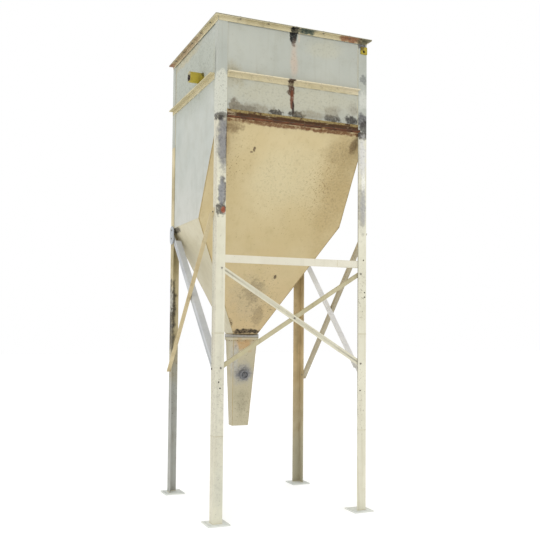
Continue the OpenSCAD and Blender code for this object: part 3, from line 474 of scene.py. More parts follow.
leg_fr = paint("leg_fr_paint", CREAM, CREAM2, "a89f82", streak=0.32, speck=0.45, rust=0.3, shift=2.0, stains_and_painted_light=(
    ((0.715, -0.73, 3.59), (0.060, 0.06, 0.050), "2e2926", 0.92, 0.7, 0.25, 26.0),
    ((0.700, -0.73, 3.40), (0.038, 0.06, 0.180), SLATE, 0.25, 0.9, 0.5, 24.0),
    ((0.720, -0.73, 3.36), (0.035, 0.06, 0.190), "d6d5d2", 0.8, 0.8, 0.5, 24.0),
    ((0.728, -0.73, 3.10), (0.020, 0.06, 0.10), "f2f1ea", 0.7, 0.6, 0.3, 24.0),
    ((0.706, -0.73, 2.86), (0.036, 0.06, 0.200), SLATE, 0.45, 0.9, 0.5, 24.0),
    ((0.728, -0.73, 2.88), (0.026, 0.06, 0.170), ASH, 0.8, 0.8, 0.5, 24.0),
    ((0.673, -0.73, 2.3), (0.004, 0.03, 1.4), "5a5142", 0.6, 0.5, 0.4, 12.0)),
    freckles=(((0.715, -0.72, 2.02), (0.06, 0.06, 0.20), "5a4f40", 1.0),
              ((0.715, -0.72, 1.05), (0.06, 0.06, 0.30), "5f5342", 1.0)))
leg_rl = paint("leg_rl_paint", "cbbe98", "a89b74", "6a5c40", streak=0.45, speck=0.5, rust=0.5, shift=4.0,
    grad=(2, 1.0, 1.7, "a2a39c", 1.0), stains_and_painted_light=(
    ((-0.745, 0.70, 1.95), (0.050, 0.12, 0.24), "33302c", 0.9, 0.7, 0.3, 16.0),
    ((-0.752, 0.70, 2.00), (0.012, 0.10, 0.16), "c9c6bb", 0.8, 0.8, 0.3, 30.0),
    ((-0.745, 0.70, 1.62), (0.030, 0.10, 0.16), "4f4c48", 0.8, 0.7, 0.3, 18.0),
    ((-0.72, 0.71, 2.52), (0.05, 0.08, 0.20), "8a7b58", 0.5, 0.7, 0.4, 16.0)),
    freckles=(((-0.71, 0.71, 1.2), (0.08, 0.08, 0.5), "5a5348", 0.9),))
leg_rr = paint("leg_rr_paint", "d7c298", "b39d72", "77684a", streak=0.5, speck=0.45, rust=0.5, shift=6.0,
    grad=(2, 0.2, 1.5, "9e9b85", 0.9))
post_paint = paint("post_paint", "b0b3a9", "a6aaa1", "8f8a78",
                   streak=0.35, speck=0.45, rust=0.4, shift=8.0, stains_and_painted_light=(
    ((-0.720, -0.70, 3.80), (0.08, 0.09, 0.245), "c7c8ba", 1.0, 0.08, 0.06, 16.0),
    ((0.715, -0.73, 3.73), (0.07, 0.06, 0.060), SLATE, 0.85, 0.8, 0.3, 24.0),
    ((0.735, -0.73, 3.66), (0.05, 0.06, 0.060), "3a342f", 0.8, 0.7, 0.35, 24.0),
    ((0.735, -0.73, 4.12), (0.040, 0.06, 0.05), "5d5f60", 0.6, 1.1, 0.3, 34.0),
    ((0.725, -0.73, 3.92), (0.05, 0.06, 0.08), "cfd0c6", 0.7, 0.9, 0.35, 16.0),
    # painted shade: dark spot on the post, seen through the lifting lug's hole
    ((0.726, -0.73, 4.402), (0.017, 0.02, 0.017), "1c1408", 1.0, 0.1, 0.2, 30.0),
    ((0.705, -0.73, 4.465), (0.05, 0.05, 0.035), "4a4548", 0.85, 0.7, 0.3, 30.0),
    ((-0.755, -0.660, 4.13), (0.02, 0.010, 0.13), "77776f", 0.8, 0.6, 0.3, 20.0),
    ((-0.725, -0.70, 3.62), (0.06, 0.08, 0.022), "3f3833", 0.8, 0.6, 0.3, 30.0)))
front_paint = paint("front_panel_paint", "b4b6ab", "abaea4", "8f8a74", streak=0.25, speck=0.5, rust=0.45,
                    wavy=0.4, shift=1.0, stains_and_painted_light=(
    ((0.0, -0.722, 3.86), (0.75, 0.05, 0.13), "b9b49a", 0.55, 0.4, 0.5, 6.0),
    ((-0.62, -0.722, 4.00), (0.10, 0.05, 0.10), "a39a7c", 0.6, 0.7, 0.5, 12.0),
    ((0.30, -0.722, 4.37), (0.16, 0.05, 0.08), "bdb9a0", 0.4, 0.6, 0.5, 8.0),
    ((-0.020, -0.722, 4.44), (0.036, 0.05, 0.085), "0a0808", 1.0, 0.5, 0.15, 24.0),
    ((0.005, -0.722, 4.50), (0.055, 0.05, 0.030), "12100e", 0.95, 0.5, 0.2, 24.0),
    ((-0.010, -0.722, 4.22), (0.034, 0.05, 0.15), "c4ad98", 0.6, 0.5, 0.6, 10.0),
    ((0.040, -0.722, 4.44), (0.010, 0.05, 0.05), "c9b9a4", 0.6, 0.6, 0.4, 24.0),
    ((-0.040, -0.722, 3.93), (0.034, 0.05, 0.055), "4a2a16", 0.95, 0.6, 0.2, 26.0),
    ((-0.030, -0.722, 3.84), (0.021, 0.05, 0.090), "6a3a22", 0.95, 0.5, 0.2, 30.0),
    ((-0.018, -0.722, 3.76), (0.012, 0.05, 0.070), "2c1b14", 0.95, 0.4, 0.25, 30.0),
    ((-0.60, -0.722, 3.72), (0.05, 0.05, 0.06), "6d6250", 0.8, 0.8, 0.35, 24.0),
    ((-0.48, -0.722, 3.70), (0.11, 0.05, 0.030), "3c352c", 0.85, 0.9, 0.3, 30.0),
    ((-0.40, -0.722, 3.71), (0.22, 0.05, 0.045), "8d8672", 0.7, 0.8, 0.45, 20.0),
    ((-0.19, -0.722, 3.70), (0.06, 0.05, 0.030), "3a332a", 0.9, 0.9, 0.3, 34.0),
    ((0.02, -0.722, 3.70), (0.08, 0.05, 0.034), "33291f", 0.9, 0.9, 0.3, 34.0),
    ((0.16, -0.722, 3.72), (0.12, 0.05, 0.04), "8a8068", 0.6, 0.8, 0.45, 20.0),
    ((0.40, -0.722, 3.71), (0.09, 0.05, 0.036), "3e362c", 0.88, 0.8, 0.35, 26.0),
    ((0.40, -0.722, 3.78), (0.08, 0.05, 0.05), "8e8774", 0.6, 0.8, 0.5, 20.0),
    ((0.60, -0.722, 3.72), (0.065, 0.05, 0.050), "2f2a27", 0.92, 0.8, 0.3, 24.0),
    ((0.62, -0.722, 3.82), (0.05, 0.05, 0.06), "8f8a7c", 0.6, 0.8, 0.5, 20.0)),
    freckles=(((-0.3, -0.722, 3.80), (0.45, 0.05, 0.07), "857a62", 0.6),
              ((-0.60, -0.722, 4.08), (0.08, 0.05, 0.09), "7d7156", 0.8)))
wall_paint = paint("side_wall_paint", "b8bbb3", "afb4ad", "9d9b88",
                   streak=0.25, speck=0.25, rust=0.25, wavy=0.45,
                   shift=3.0, grad=(2, 2.7, 3.4, "c2c2ba", 0.8), stains_and_painted_light=(
    ((-0.754, 0.0, 4.20), (0.05, 0.80, 0.33), "a9ada0", 0.75, 0.3, 0.5, 4.0),
    ((-0.754, 0.715, 3.82), (0.03, 0.035, 0.045), "3d3830", 0.9, 0.6, 0.3, 30.0),
    ((-0.754, 0.728, 3.40), (0.03, 0.012, 0.30), "6d6a62", 0.6, 0.6, 0.4, 16.0),
    ((-0.754, 0.728, 2.95), (0.03, 0.016, 0.20), "57534c", 0.7, 0.6, 0.4, 16.0),
    ((-0.754, -0.62, 4.10), (0.03, 0.05, 0.26), "a7a894", 0.5, 0.6, 0.5, 12.0),
    ((-0.754, 0.30, 4.45), (0.03, 0.42, 0.05), "b9ae88", 0.6, 0.7, 0.5, 12.0)))
rear_paint = paint("rear_wall_paint", "c0c0b3", "b6b8ad", "9c947a",
                   streak=0.4, speck=0.3, rust=0.3, wavy=0.4, shift=5.0)
hopper_paint = paint("hopper_front_paint", "cdbe95", "c6b487", "a8946a", streak=0.28, speck=0.55, rust=0.5,
                     wavy=0.4, shift=7.0, grad=(2, 1.6, 2.7, "c3ab80", 0.8), stains_and_painted_light=(
    ((0.60, -0.40, 3.05), (0.17, 0.45, 0.60), "b39c6c", 0.6, 0.5, 0.6, 5.0),
    ((0.52, -0.60, 3.43), (0.14, 0.12, 0.14), "a8946a", 0.5, 0.7, 0.5, 8.0),
    ((-0.64, -0.60, 3.30), (0.05, 0.16, 0.35), "b59d6e", 0.6, 0.6, 0.5, 8.0),
    ((0.0, -0.45, 3.15), (0.30, 0.25, 0.28), "d0c6a2", 0.5, 0.5, 0.6, 4.0),
    ((-0.05, 0.25, 2.02), (0.20, 0.20, 0.26), "b5a88a", 0.40, 0.9, 0.5, 9.0),
    ((-0.02, 0.20, 2.08), (0.10, 0.12, 0.14), "7f7258", 0.45, 1.2, 0.4, 18.0),
    ((0.08, 0.36, 1.85), (0.06, 0.10, 0.12), "7f7054", 0.45, 1.2, 0.4, 22.0),
    ((0.0, OUT_Y - 0.01, 1.685), (0.17, 0.05, 0.028), "2c2118", 0.95, 0.7, 0.3, 26.0),
    ((-0.23, 0.43, 1.746), (0.045, 0.08, 0.065), "3f3224", 0.9, 0.7, 0.3, 30.0),
    ((0.178, 0.121, 2.245), (0.016, 0.03, 0.022), "4a3a2a", 0.9, 0.4, 0.3, 40.0),
    ((-0.344, -0.581, 3.377), (0.012, 0.03, 0.022), "4a3626", 0.85, 0.6, 0.3, 40.0),
    ((-0.366, -0.560, 3.35), (0.014, 0.02, 0.008), "5a4734", 0.8, 0.6, 0.3, 40.0),
    ((-0.25, -0.69, 3.590), (0.50, 0.05, 0.020), "6f4524", 0.9, 0.8, 0.35, 26.0),
    ((0.42, -0.69, 3.590), (0.40, 0.05, 0.020), "6f4524", 0.9, 0.8, 0.35, 26.0),
    ((-0.60, -0.66, 3.54), (0.10, 0.06, 0.05), "7a6240", 0.7, 0.8, 0.4, 22.0),
    ((0.66, -0.64, 3.50), (0.04, 0.08, 0.08), "6d5638", 0.7, 0.8, 0.4, 22.0)),
    freckles=(((0.44, -0.42, 3.10), (0.16, 0.30, 0.30), "7d6238", 1.5),
              ((0.52, -0.52, 3.30), (0.16, 0.20, 0.18), "8a6f42", 1.2),
              ((-0.50, -0.50, 3.22), (0.14, 0.22, 0.26), "7d6238", 1.0),
              ((0.10, -0.30, 2.92), (0.35, 0.4, 0.25), "8a7348", 0.7),
              ((0.0, 0.25, 2.0), (0.24, 0.30, 0.30), "4f4330", 1.2)))
pyramid_paint = paint("hopper_side_paint", "ccc6ae", "c4bca0", "a3987c", streak=0.3, speck=0.3, rust=0.3,
                      wavy=0.35, shift=9.0, stains_and_painted_light=(
    ((-0.745, 0.62, 2.73), (0.05, 0.14, 0.030), "3a3128", 0.85, 0.7, 0.35, 20.0),))
trim_paint = paint("trim_paint", "cdc3a2", "bfb48e", "8a7f5e",
                   streak=0.4, speck=0.7, rust=0.9, shift=11.0, stains_and_painted_light=(
    ((0.0, -0.78, 4.015), (0.90, 0.06, 0.060), "dfd5b8", 0.75, 0.3, 0.5, 10.0),
    ((-0.045, -0.77, 4.00), (0.035, 0.08, 0.045), "3a2010", 0.97, 0.5, 0.2, 34.0),
    ((-0.014, -0.77, 4.50), (0.042, 0.08, 0.060), "0b0908", 1.0, 0.4, 0.2, 24.0),
    ((0.11, -0.77, 4.50), (0.085, 0.08, 0.024), "24403c", 0.9, 0.6, 0.3, 30.0),
    ((0.58, -0.77, 4.50), (0.12, 0.08, 0.035), "8a4a28", 0.8, 0.8, 0.3, 20.0),
    ((0.74, -0.78, 4.50), (0.08, 0.10, 0.040), "3f4028", 0.85, 0.7, 0.35, 20.0),
    ((-0.78, 0.20, 4.50), (0.08, 0.40, 0.030), "8f6a44", 0.5, 0.9, 0.4, 10.0),
    ((-0.80, 0.74, 4.50), (0.06, 0.08, 0.04), "8a4a30", 0.8, 0.7, 0.35, 20.0),
    # painted highlight: bright line along the band's sunlit top edge
    ((0.0, -0.78, 4.046), (0.80, 0.05, 0.009), "efe9d0", 1.0, 0.3, 0.4, 30.0),
    # painted shade: darker strip on the band's lower face, under its outstanding leg
    ((0.10, -0.77, 3.985), (0.60, 0.05, 0.014), "b3a87f", 0.35, 0.7, 0.4, 14.0),
    ((0.60, -0.77, 4.00), (0.12, 0.06, 0.03), "d8ceb4", 0.7, 0.7, 0.4, 14.0)))
joint_rust = rusty("joint_rust", ("523518", "432a10", "6b4926"), strip=(JOINT + 0.045, "9c8957", "77643b"))
joint_rust2 = rusty("joint_flange_rust", ("4a2a12", "6b3d1e", "7d5432"), "a98e5c", 0.25, shift=4.0)
rail_paint = paint("rail_paint", "dedac9", "d5d0bd", "b0a88e", streak=0.2, speck=0.3, rust=0.3, shift=12.0)
flat_paint = paint("flat_brace_paint", "dad6c0", "cfcab3", "a49a7c",
                   streak=0.3, speck=0.4, rust=0.4, shift=13.0)
# Darker tan than the flat brace, as painted shade: the angle's flange lies in the shadow of its upper leg.
angle_paint = paint("angle_brace_paint", "bdb594", "aca37f", "7d7152",
                    streak=0.4, speck=0.5, rust=0.5, shift=14.0)
tan_brace = paint("tan_brace_paint", "cbbd98", "bfae86", "8d7a54",
                  streak=0.4, speck=0.45, rust=0.45, shift=15.0)
grey_brace = paint("grey_brace_paint", "c0c2c2", "b1b4b6", "88868a",
                   streak=0.3, speck=0.35, rust=0.4, shift=16.0)
white_brace = paint("white_brace_paint", "e0dfdc", "d0d0d0", "a6a4a2",
                    streak=0.3, speck=0.35, rust=0.35, shift=17.0)
brown_brace = paint("brown_brace_paint", "b5ac94", "a2987e", "7a6a4c",
                    streak=0.4, speck=0.45, rust=0.5, shift=18.0)
gusset_paint = paint("gusset_paint", "b9bdc0", "a3a8ac", "5c5a56",
                     streak=0.3, speck=0.5, rust=0.8, shift=19.0)
base_paint = paint("base_plate_paint", "dfe1da", "cdd1cb", "7a766c",
                   streak=0.2, speck=0.6, rust=0.9, shift=20.0)
spout_paint = paint("spout_paint", "bbb398", "b0a78a", "8a8068",
                    streak=0.25, speck=0.5, rust=0.5, shift=21.0, stains_and_painted_light=(
    ((-0.02, 0.52, 1.54), (0.10, 0.08, 0.06), "c09358", 0.65, 0.8, 0.45, 14.0),
    ((-0.10, 0.55, 1.40), (0.03, 0.10, 0.20), "b9b8b0", 0.7, 0.6, 0.4, 10.0),
    ((0.0, 0.57, 1.238), (0.105, 0.10, 0.115), "a3a3a2", 0.75, 0.6, 0.45, 14.0),
    ((0.0, 0.57, 1.232), (0.080, 0.08, 0.080), "77777a", 0.8, 0.8, 0.4, 26.0),
    ((0.0, 0.60, 0.95), (0.06, 0.08, 0.14), "a19a82", 0.5, 0.9, 0.4, 16.0)),
    freckles=(((0.0, 0.60, 0.90), (0.09, 0.10, 0.20), "4a4232", 1.1),
              ((0.0, 0.55, 1.45), (0.12, 0.10, 0.12), "4a4232", 0.7)))
outlet_paint = paint("outlet_flange_paint", "a9a69c", "97938a", "5a4c3a",
                     streak=0.5, speck=0.6, rust=0.9, shift=22.0,
                     stains_and_painted_light=(((0.0, 0.478, 1.652), (0.20, 0.06, 0.012), "2c2118", 0.95, 0.4, 0.3, 30.0),))
yellow = paint("lifting_yellow", "b7a739", "a3922e", "5d4c1c",
               streak=0.4, speck=0.4, rust=0.6, shift=23.0, stains_and_painted_light=(
    # white-grey inside the stub's open end: partly its bare finish, partly a painted highlight for its lit
    # inner wall
    ((-0.880, -0.254, 4.08), (0.030, 0.043, 0.043), "e2e2e0", 1.0, 0.1, 0.1, 20.0),
    # painted shadow: dark crescent inside the open end, along its near rim
    ((-0.884, -0.213, 4.08), (0.030, 0.012, 0.050), "3a3032", 1.0, 0.5, 0.2, 30.0),
    # painted shade: darker yellow at the stub's root, where it meets the wall
    ((-0.764, -0.27, 4.12), (0.018, 0.08, 0.04), "4a4220", 0.8, 0.6, 0.35, 26.0),
    ((0.708, -0.74, 4.44), (0.022, 0.03, 0.030), "4a3f24", 0.75, 0.7, 0.35, 30.0)))
roof_paint = paint("roof_paint", "b9b59c", "aba68c", "7a7258",
                   streak=0.3, speck=0.5, rust=0.5, wavy=0.4, shift=24.0)
door_paint = paint("door_paint", "c6c6ba", "bcbdb2", "958d74", streak=0.35, speck=0.35, rust=0.5, shift=25.0)
header_paint = paint("header_paint", "7d909c", "708390", "5a5f60",
                     streak=0.3, speck=0.3, rust=0.5, shift=26.0)
weld_cream = paint("weld_cream", "d2cdb6", "c4bda2", "8a7f66", streak=0.3, speck=0.5, rust=0.9, shift=27.0)
weld_tan = paint("weld_tan", "b8a576", "a18d60", "5e4c32", streak=0.5, speck=0.7, rust=0.9, shift=28.0)
gasket_mat = rubber("gasket_rubber")
seal_mat = rubber("door_seal_rubber", "222222", 3.0)
zinc = metal("bolt_zinc", "9a978e", 0.45, "5b4a36", 0.8)
rust_bolt = rusty("bolt_rust", ("6a4a2c", "4e3520", "8d6a42"), "b7a888", 0.2, shift=9.0)
# painted shade: near-black material for the discs in the front legs' spare holes
hole_shade_mat = rusty("hole_painted_shade", ("1e1610", "120d09", "33261a"), "2a2018", 0.05, shift=13.0)
port_metal = metal("port_iron", "86878a", 0.55, "55524e", 0.6, metallic=0.35)
alu = metal("valve_cast", "b4b5b4", 0.45, "8a867c", 0.5)
pipe_mat = metal("pipe_zinc", "a9aaa8", 0.4, "77736a", 0.5, (1.0, 0.1, 1.0))
sheet_mat = metal("tube_sheet_zinc", "a9acab", 0.42, "7a766b", 0.6)
cap_mat = metal("cap_zinc", "a7a8a5", 0.4, "6f6a60", 0.5)
steel = metal("handle_steel", "8b8880", 0.38, "4c443a", 0.6)
felt_mat = felt("filter_felt")

dress(leg_fl, "leg_front_left")
dress(leg_fr, "leg_front_right")
dress(leg_rl, "leg_rear_left")
dress(leg_rr, "leg_rear_right")
dress(post_paint, "corner_posts")
dress(base_paint, "base_plates")
dress(front_paint, "front_panel")
dress(wall_paint, "left_wall", "right_wall", "inlet_collar", "exhaust_collar")
dress(rear_paint, "rear_wall", "hopper_rear")
dress(hopper_paint, "hopper_front")
dress(pyramid_paint, "hopper_left", "hopper_right")
dress(trim_paint, "top_flange", "stiffener_band")
dress(joint_rust, "joint_angle")
dress(joint_rust2, "hopper_flange")
dress(gasket_mat, "joint_gasket", "outlet_gasket", "roof_gasket")
dress(rust_bolt, "joint_bolts", "outlet_bolts")
dress(outlet_paint, "outlet_flange")
dress(spout_paint, "spout")
dress(port_metal, "port_coupling", "port_plug")
dress(yellow, "trunnion_left", "trunnion_right", "lifting_lug")
dress(rail_paint, "front_rail", "rail_splice")
dress(flat_paint, "front_brace_flat")
dress(angle_paint, "front_brace_angle")
dress(tan_brace, "left_brace_outer")
dress(grey_brace, "left_brace_inner")
dress(brown_brace, "right_brace_outer")
dress(white_brace, "right_brace_inner")
dress(gusset_paint, "brace_gussets")
dress(zinc, "brace_bolts", "roof_bolts", "cartridge_rods")
dress(roof_paint, "roof_plate")
dress(door_paint, "hatch_curb", "hatch_lid", "door_frame", "access_door")
dress(steel, "hatch_latch", "door_latch_upper", "door_latch_lower")
dress(header_paint, "air_header")
dress(alu, "pulse_valves")
dress(pipe_mat, "blow_pipes")
dress(sheet_mat, "tube_sheet")
dress(cap_mat, "cartridge_caps")
dress(felt_mat, "cartridge_media")
dress(seal_mat, "door_seal")


# ---------------------------------------------------------------- added detail
SINK = 0.0015     # a seam bead's centre lies this far under the sheet's face
LEG_T = 0.008     # thickness of the legs' angle


def bead_loop(bm, corners, r):
    """Beads along the four sides of a rectangle."""
    for p, q in zip(corners, corners[1:] + corners[:1]):
        bead(bm, p, q, r)


def corner_seams():
    """Beads where the sloping front meets the sides, down to the outlet and along the knee."""
    seam, rear, flat = 0.0045, 0.004, 0.0028
    top, low = SLOPE_TOP - 0.02, OUT_Z + 0.004
    bm = bmesh.new()
    for s in (-1, 1):
        x = s * (WX - SINK)
        knee = (x, slope_y(KNEE), KNEE)
        bead(bm, (x, slope_y(top), top), knee, seam)
        bead(bm, knee, (s * OUT_X, slope_y(low) + 0.001, low), seam)
        bead(bm, (x, WY - SINK, KNEE), (s * OUT_X, WY - SINK, low), rear)
    add_object("hopper_corner_welds", bm, weld_tan)
    bm = bmesh.new()
    for s in (-1, 1):
        x = s * (WX + 0.0003)
        bead(bm, (x, slope_y(KNEE) + 0.004, KNEE), (x, WY - 0.004, KNEE), flat)
    bead(bm, (-WX, WY, KNEE), (WX, WY, KNEE), flat)
    add_object("knee_welds", bm, weld_cream)


def panel_seams():
    """Upright beads between posts and walls; the stiffener band interrupts all but the rear ones."""
    r, edge = 0.0035, 0.001
    low, high = PANEL_LO.z + 0.07, PANEL_HI.z - 0.045
    under, over = BAND_LO.z - 0.002, BAND_HI.z + 0.002
    bm = bmesh.new()
    for s in (-1, 1):
        x = s * (HALF_W - LEG - edge)
        for y, z0, z1 in ((-WY, low, under), (-WY, over, high), (WY, low, high)):
            bead(bm, (x, y, z0), (x, y, z1), r)
        for t in (-1, 1):
            y = t * (HALF_D - LEG - edge)
            for z0, z1 in ((JOINT + 0.02, under), (over, high)):
                bead(bm, (s * WX, y, z0), (s * WX, y, z1), r)
    add_object("post_seam_welds", bm, weld_cream)


def stitch_welds():
    """Short weld runs along the underside of the stiffener band."""
    half_run, pitch, jitter, r, z = 0.022, 0.145, 0.01, 0.004, BAND_LO.z
    bm = bmesh.new()
    for i in range(-4, 5):
        mid = i * pitch + rng.uniform(-jitter, jitter)
        y = -WY - 0.001
        bead(bm, (mid - half_run, y, z), (mid + half_run, y, z), r)
        for s in (-1, 1):
            x = s * (WX + 0.001)
            bead(bm, (x, mid - half_run, z), (x, mid + half_run, z), r)
    add_object("band_stitch_welds", bm, weld_cream)


def leg_splices():
    """Beads across the front legs where two lengths of angle meet."""
    r, edge, proud = 0.0032, 0.001, 0.0002
    y = -HALF_D - proud
    bm = bmesh.new()
    for s, heights in ((-1, (1.670, 0.766)), (1, (1.669, 0.761))):
        for z in heights:
            bead(bm, (s * (HALF_W - edge), y, z), (s * (HALF_W - LEG + edge), y, z), r)
            x = s * (HALF_W + proud)
            bead(bm, (x, -HALF_D, z), (x, -HALF_D + LEG - edge, z), r)
    add_object("leg_splice_welds", bm, weld_cream)


def hole_painted_shade():
    """Dark discs in the front legs' spare holes: painted shade for the dark seen through them."""
    # side, distance from the leg's inner edge, height
    holes = ((1, 0.061, 2.374), (1, 0.074, 2.064), (1, 0.074, 2.021), (1, 0.028, 1.134),
             (-1, 0.048, 1.241), (-1, 0.035, 1.186))
    plug = ((0.0069, 0.0), (0.0062, 0.0012), (0.0, 0.0016))
    bm = bmesh.new()
    for s, inset, z in holes:
        disc(bm, (s * (HALF_W - LEG + inset), -HALF_D + 0.0045, z), (0, -1, 0), plug, 20)
    add_object("spare_hole_painted_shade", bm, hole_shade_mat)


def foot_welds():
    """Beads round each leg's angle, outside and inside, on its base plate."""
    outer, inner, edge = 0.005, 0.004, 0.010
    z = FOOT_Z + 0.001
    bm = bmesh.new()
    for sx in (-1, 1):
        for sy in (-1, 1):
            x, y = sx * HALF_W, sy * HALF_D
            bead(bm, (x, y, z), (x - sx * LEG, y, z), outer)
            bead(bm, (x, y, z), (x, y - sy * LEG, z), outer)
            bead(bm, (x - sx * LEG, y - sy * LEG_T, z), (x - sx * edge, y - sy * LEG_T, z), inner)
            bead(bm, (x - sx * LEG_T, y - sy * edge, z), (x - sx * LEG_T, y - sy * LEG, z), inner)
    add_object("foot_welds", bm, weld_cream)


def lifting_welds():
    """Beads round the two lifting stubs and the drilled lug."""
    bm = bmesh.new()
    for n, s in (("trunnion_left", -1), ("trunnion_right", 1)):
        lo, hi = lo_hi(n)
        c = (lo + hi) / 2
        ring_bead(bm, (s * WX, c.y, c.z), (1, 0, 0), (hi.z - lo.z) / 2 + 0.001, 0.0055)
    lo, hi = lo_hi("lifting_lug")
    y = hi.y - 0.001
    bead_loop(bm, [(lo.x, y, lo.z), (hi.x, y, lo.z), (hi.x, y, hi.z), (lo.x, y, hi.z)], 0.0045)
    add_object("lifting_welds", bm, yellow)


def round_welds():
    """Bead and rivets where each duct collar meets the wall, and the bead round the port."""
    rivets, rivet_ring = 8, 0.166
    rivet = ((0.008, 0.0), (0.008, 0.0015), (0.006, 0.0045), (0.0, 0.0052))
    bm = bmesh.new()
    for n in COLLARS:
        lo, hi = lo_hi(n)
        c = (lo + hi) / 2
        ring_bead(bm, (lo.x + 0.005, c.y, c.z), (1, 0, 0), 0.1535, 0.003, 72)
        for i in range(rivets):
            q = 2 * math.pi * (i + 0.5) / rivets
            at = (lo.x + 0.0038, c.y + rivet_ring * math.cos(q), c.z + rivet_ring * math.sin(q))
            disc(bm, at, (1, 0, 0), rivet, 12)
    add_object("collar_welds_and_rivets", bm, weld_cream)
    bm = bmesh.new()
    lo, hi = lo_hi("port_coupling")
    c = (lo + hi) / 2
    ring_bead(bm, (c.x, hi.y - 0.004, c.z + 0.003), (0, -0.99, -0.139), 0.0465, 0.004, 40)
    add_object("port_weld", bm, port_metal)


def collar_beads():
    """Rolled stiffening bead and rolled rim near each duct collar's open end."""
    bm = bmesh.new()
    for n in COLLARS:
        lo, hi = lo_hi(n)
        c = (lo + hi) / 2
        for back, ring, r in ((0.018, 0.1525, 0.003), (0.002, 0.151, 0.0015)):
            ring_bead(bm, (hi.x - back, c.y, c.z), (1, 0, 0), ring, r, 72)
    add_object("collar_beads", bm, wall_paint)


def access_door_detail():
    """Pressed ribs, pull handle and hinge screws on the rear door."""
    lo, hi = lo_hi("access_door")
    seal_lo, seal_hi = lo_hi("door_seal")
    x0, x1 = seal_lo.x, seal_hi.x
    zm = (lo.z + hi.z) / 2
    face = hi.y - 0.008
    bm = bmesh.new()
    for k in (-1, 0, 1):
        z = zm + k * 0.15
        rounded_box(bm, (x0 + 0.10, face - 0.001, z - 0.016), (x1 - 0.13, face + 0.004, z + 0.016), 0.003, 3)
    add_object("door_ribs", bm, door_paint, "access_door_body")
    bm = bmesh.new()
    x = x1 - 0.105
    half_grip = ((-0.002, 0.07), (0.016, 0.066), (0.024, 0.05))
    low_end = [(x, face + out, zm - dz) for out, dz in half_grip]
    high_end = [(x, face + out, zm + dz) for out, dz in half_grip[::-1]]
    sweep(bm, low_end + [(x, face + 0.026, zm)] + high_end, 0.0055, 10)
    for s in (-1, 1):
        z = zm + s * 0.07
        rounded_box(bm, (x - 0.012, face - 0.001, z - 0.013), (x + 0.012, face + 0.003, z + 0.013), 0.0012)
    add_object("door_pull", bm, steel, "access_door_body")
    hinge_z = 0.34 * 0.62     # hinges stand at this share of the door opening's height from its middle
    screw = ((0.005, 0.0), (0.005, 0.0035), (0.003, 0.0052), (0.0, 0.0055))
    bm = bmesh.new()
    for s in (-1, 1):
        for down in (0.008, 0.028):
            for x in (x0 + 0.012, x0 + 0.024):
                disc(bm, (x, face, zm + s * hinge_z - down), (0, 1, 0), screw, 12)
    add_object("door_hinge_screws", bm, zinc, "access_door_body")


def hatch_detail():
    """Pressed panels and two pull handles on the hatch lid."""
    lo, hi = lo_hi("hatch_lid")
    xm = (lo.x + hi.x) / 2
    plate = lo.z + 0.008
    bm = bmesh.new()
    for s in (-1, 1):
        x = xm + s * 0.17
        near, far = (x - 0.09, lo.y + 0.10, plate - 0.001), (x + 0.09, lo.y + 0.36, plate + 0.004)
        rounded_box(bm, near, far, 0.003, 3)
    add_object("hatch_panels", bm, door_paint, "hatch_lid_body")
    bm = bmesh.new()
    y = lo.y + 0.075
    half_grip = ((0.06, -0.002), (0.056, 0.014), (0.04, 0.022))
    for s in (-1, 1):
        x = xm + s * 0.19
        left = [(x - dx, y, plate + up) for dx, up in half_grip]
        right = [(x + dx, y, plate + up) for dx, up in half_grip[::-1]]
        sweep(bm, left + right, 0.005, 10)
    add_object("hatch_pulls", bm, steel, "hatch_lid_body")


def valve_detail():
    """Cover screws and coil on each pulse valve, and the header's end, outlet and foot welds."""
    valve_lo = lo_hi("pulse_valves")[0]
    lo, hi = lo_hi("air_header")
    flange_r, screw_ring, screws_each = 0.054, 0.045, 6
    y, top = valve_lo.y + flange_r, lo.z + 0.1501
    screw = ((0.006, 0.0), (0.006, 0.004), (0.0045, 0.0055), (0.0, 0.0056))
    coil = ((0.021, 0.0), (0.022, 0.002), (0.022, 0.030), (0.019, 0.033))
    bm = bmesh.new()
    screws = bmesh.new()
    for x in (-CART_PITCH, 0.0, CART_PITCH):
        for i in range(screws_each):
            q = 2 * math.pi * (i + 0.5) / screws_each
            at = (x + screw_ring * math.cos(q), y + screw_ring * math.sin(q), top - 0.0002)
            disc(screws, at, (0, 0, 1), screw, 6)
        disc(bm, (x, y, top + 0.004), (0, 0, 1), coil, 20)
    add_object("valve_coils", bm, seal_mat)
    add_object("valve_screws", screws, zinc)
    bm = bmesh.new()
    y, z = (lo.y + hi.y) / 2, hi.z - 0.084
    for x, ring, r, n in ((lo.x + 0.030, 0.0815, 0.0022, 60), (hi.x - 0.054, 0.0815, 0.0022, 60),
                          (hi.x - 0.023, 0.0225, 0.003, 30)):
        ring_bead(bm, (x, y, z), (1, 0, 0), ring, r, n)
    for foot in (-0.425, 0.425):
        for s in (-1, 1):
            x = foot + s * 0.006
            bead(bm, (x, lo.y + 0.002, lo.z + 0.001), (x, hi.y - 0.002, lo.z + 0.001), 0.004)
    add_object("header_welds", bm, header_paint)


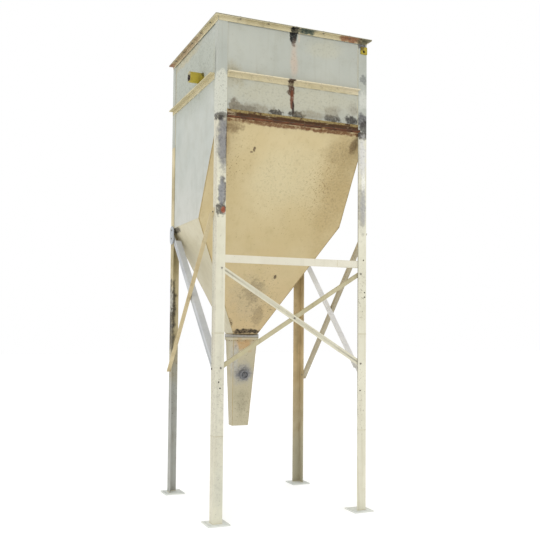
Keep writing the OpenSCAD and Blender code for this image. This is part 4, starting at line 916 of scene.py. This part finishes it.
def frame_welds():
    """Beads round the door frame and hatch curb, down the spout's edges and round the outlet."""
    curb_depth = 0.48
    bm = bmesh.new()
    lo, hi = lo_hi("door_seal")
    y = WY + 0.0005
    bead_loop(bm, [(lo.x, y, lo.z), (hi.x, y, lo.z), (hi.x, y, hi.z), (lo.x, y, hi.z)], 0.004)
    lo, hi = lo_hi("hatch_lid")
    z, back = lo_hi("roof_plate")[1].z + 0.0005, lo.y + curb_depth
    bead_loop(bm, [(lo.x, lo.y, z), (hi.x, lo.y, z), (hi.x, back, z), (lo.x, back, z)], 0.004)
    add_object("frame_welds", bm, weld_cream)
    bm = bmesh.new()
    top, tip = lo_hi("outlet_gasket")[0].z - 0.030, SPOUT_LO.z + 0.004
    top_x, tip_x, rim_x = 0.1325, 0.0895, 0.133     # half widths of the spout
    top_y, tip_y = 0.4945, 0.6225                   # its front face
    for s in (-1, 1):
        for y0, y1 in ((top_y, tip_y), (WY - 0.001, WY - 0.001)):
            bead(bm, (s * top_x, y0, top - 0.002), (s * tip_x, y1, tip), 0.0025)
    z = OUT_Z + 0.001
    for s in (-1, 1):
        x = s * (OUT_X + 0.002)
        bead(bm, (x, OUT_Y - 0.004, z), (x, WY - 0.002, z), 0.005)
    bead(bm, (-OUT_X, OUT_Y - 0.006, z), (OUT_X, OUT_Y - 0.006, z), 0.0055)
    for s in (-1, 1):
        bead(bm, (s * rim_x, top_y + 0.001, top), (s * rim_x, WY - 0.002, top), 0.0035)
    bead(bm, (-rim_x, top_y - 0.001, top), (rim_x, top_y - 0.001, top), 0.0035)
    add_object("spout_welds", bm, weld_tan)


def floor():
    """Plain pale studio floor."""
    bm = bmesh.new()
    bmesh.ops.create_grid(bm, x_segments=2, y_segments=2, size=40.0)
    mesh = bpy.data.meshes.new("floor")
    bm.to_mesh(mesh)
    bm.free()
    ob = bpy.data.objects.new("floor", mesh)
    scene.collection.objects.link(ob)
    g = Graph("floor_paint")
    cloud = g.range(g.noise(3.0, 3.0), 0.3, 0.7)
    g.put(g.bsdf.inputs["Base Color"], g.mix(cloud, (0.86, 0.86, 0.855, 1), (0.88, 0.88, 0.875, 1)))
    g.bsdf.inputs["Roughness"].default_value = 0.9
    g.bsdf.inputs["Emission Color"].default_value = (1.0, 1.0, 1.0, 1.0)
    g.bsdf.inputs["Emission Strength"].default_value = 0.22
    mesh.materials.append(g.mat)


make_camera()
make_light()
floor()
for detail in (corner_seams, panel_seams, stitch_welds, leg_splices, hole_painted_shade, foot_welds, lifting_welds,
               round_welds, collar_beads, access_door_detail, hatch_detail, valve_detail, frame_welds):
    detail()
for n in ("leg_front_left", "leg_front_right", "leg_rear_left", "leg_rear_right", "corner_posts",
          "base_plates", "front_rail", "rail_splice", "front_brace_flat", "front_brace_angle",
          "left_brace_outer", "left_brace_inner", "right_brace_outer", "right_brace_inner",
          "brace_gussets", "stiffener_band", "top_flange", "lifting_lug", "hatch_lid", "access_door",
          "hatch_curb", "door_frame"):
    soften(n)
for n in ("brace_bolts", "roof_bolts", "joint_bolts", "port_plug", "trunnion_left", "trunnion_right"):
    soften(n, 0.0008, 2)
scene.view_settings.view_transform = "Standard"
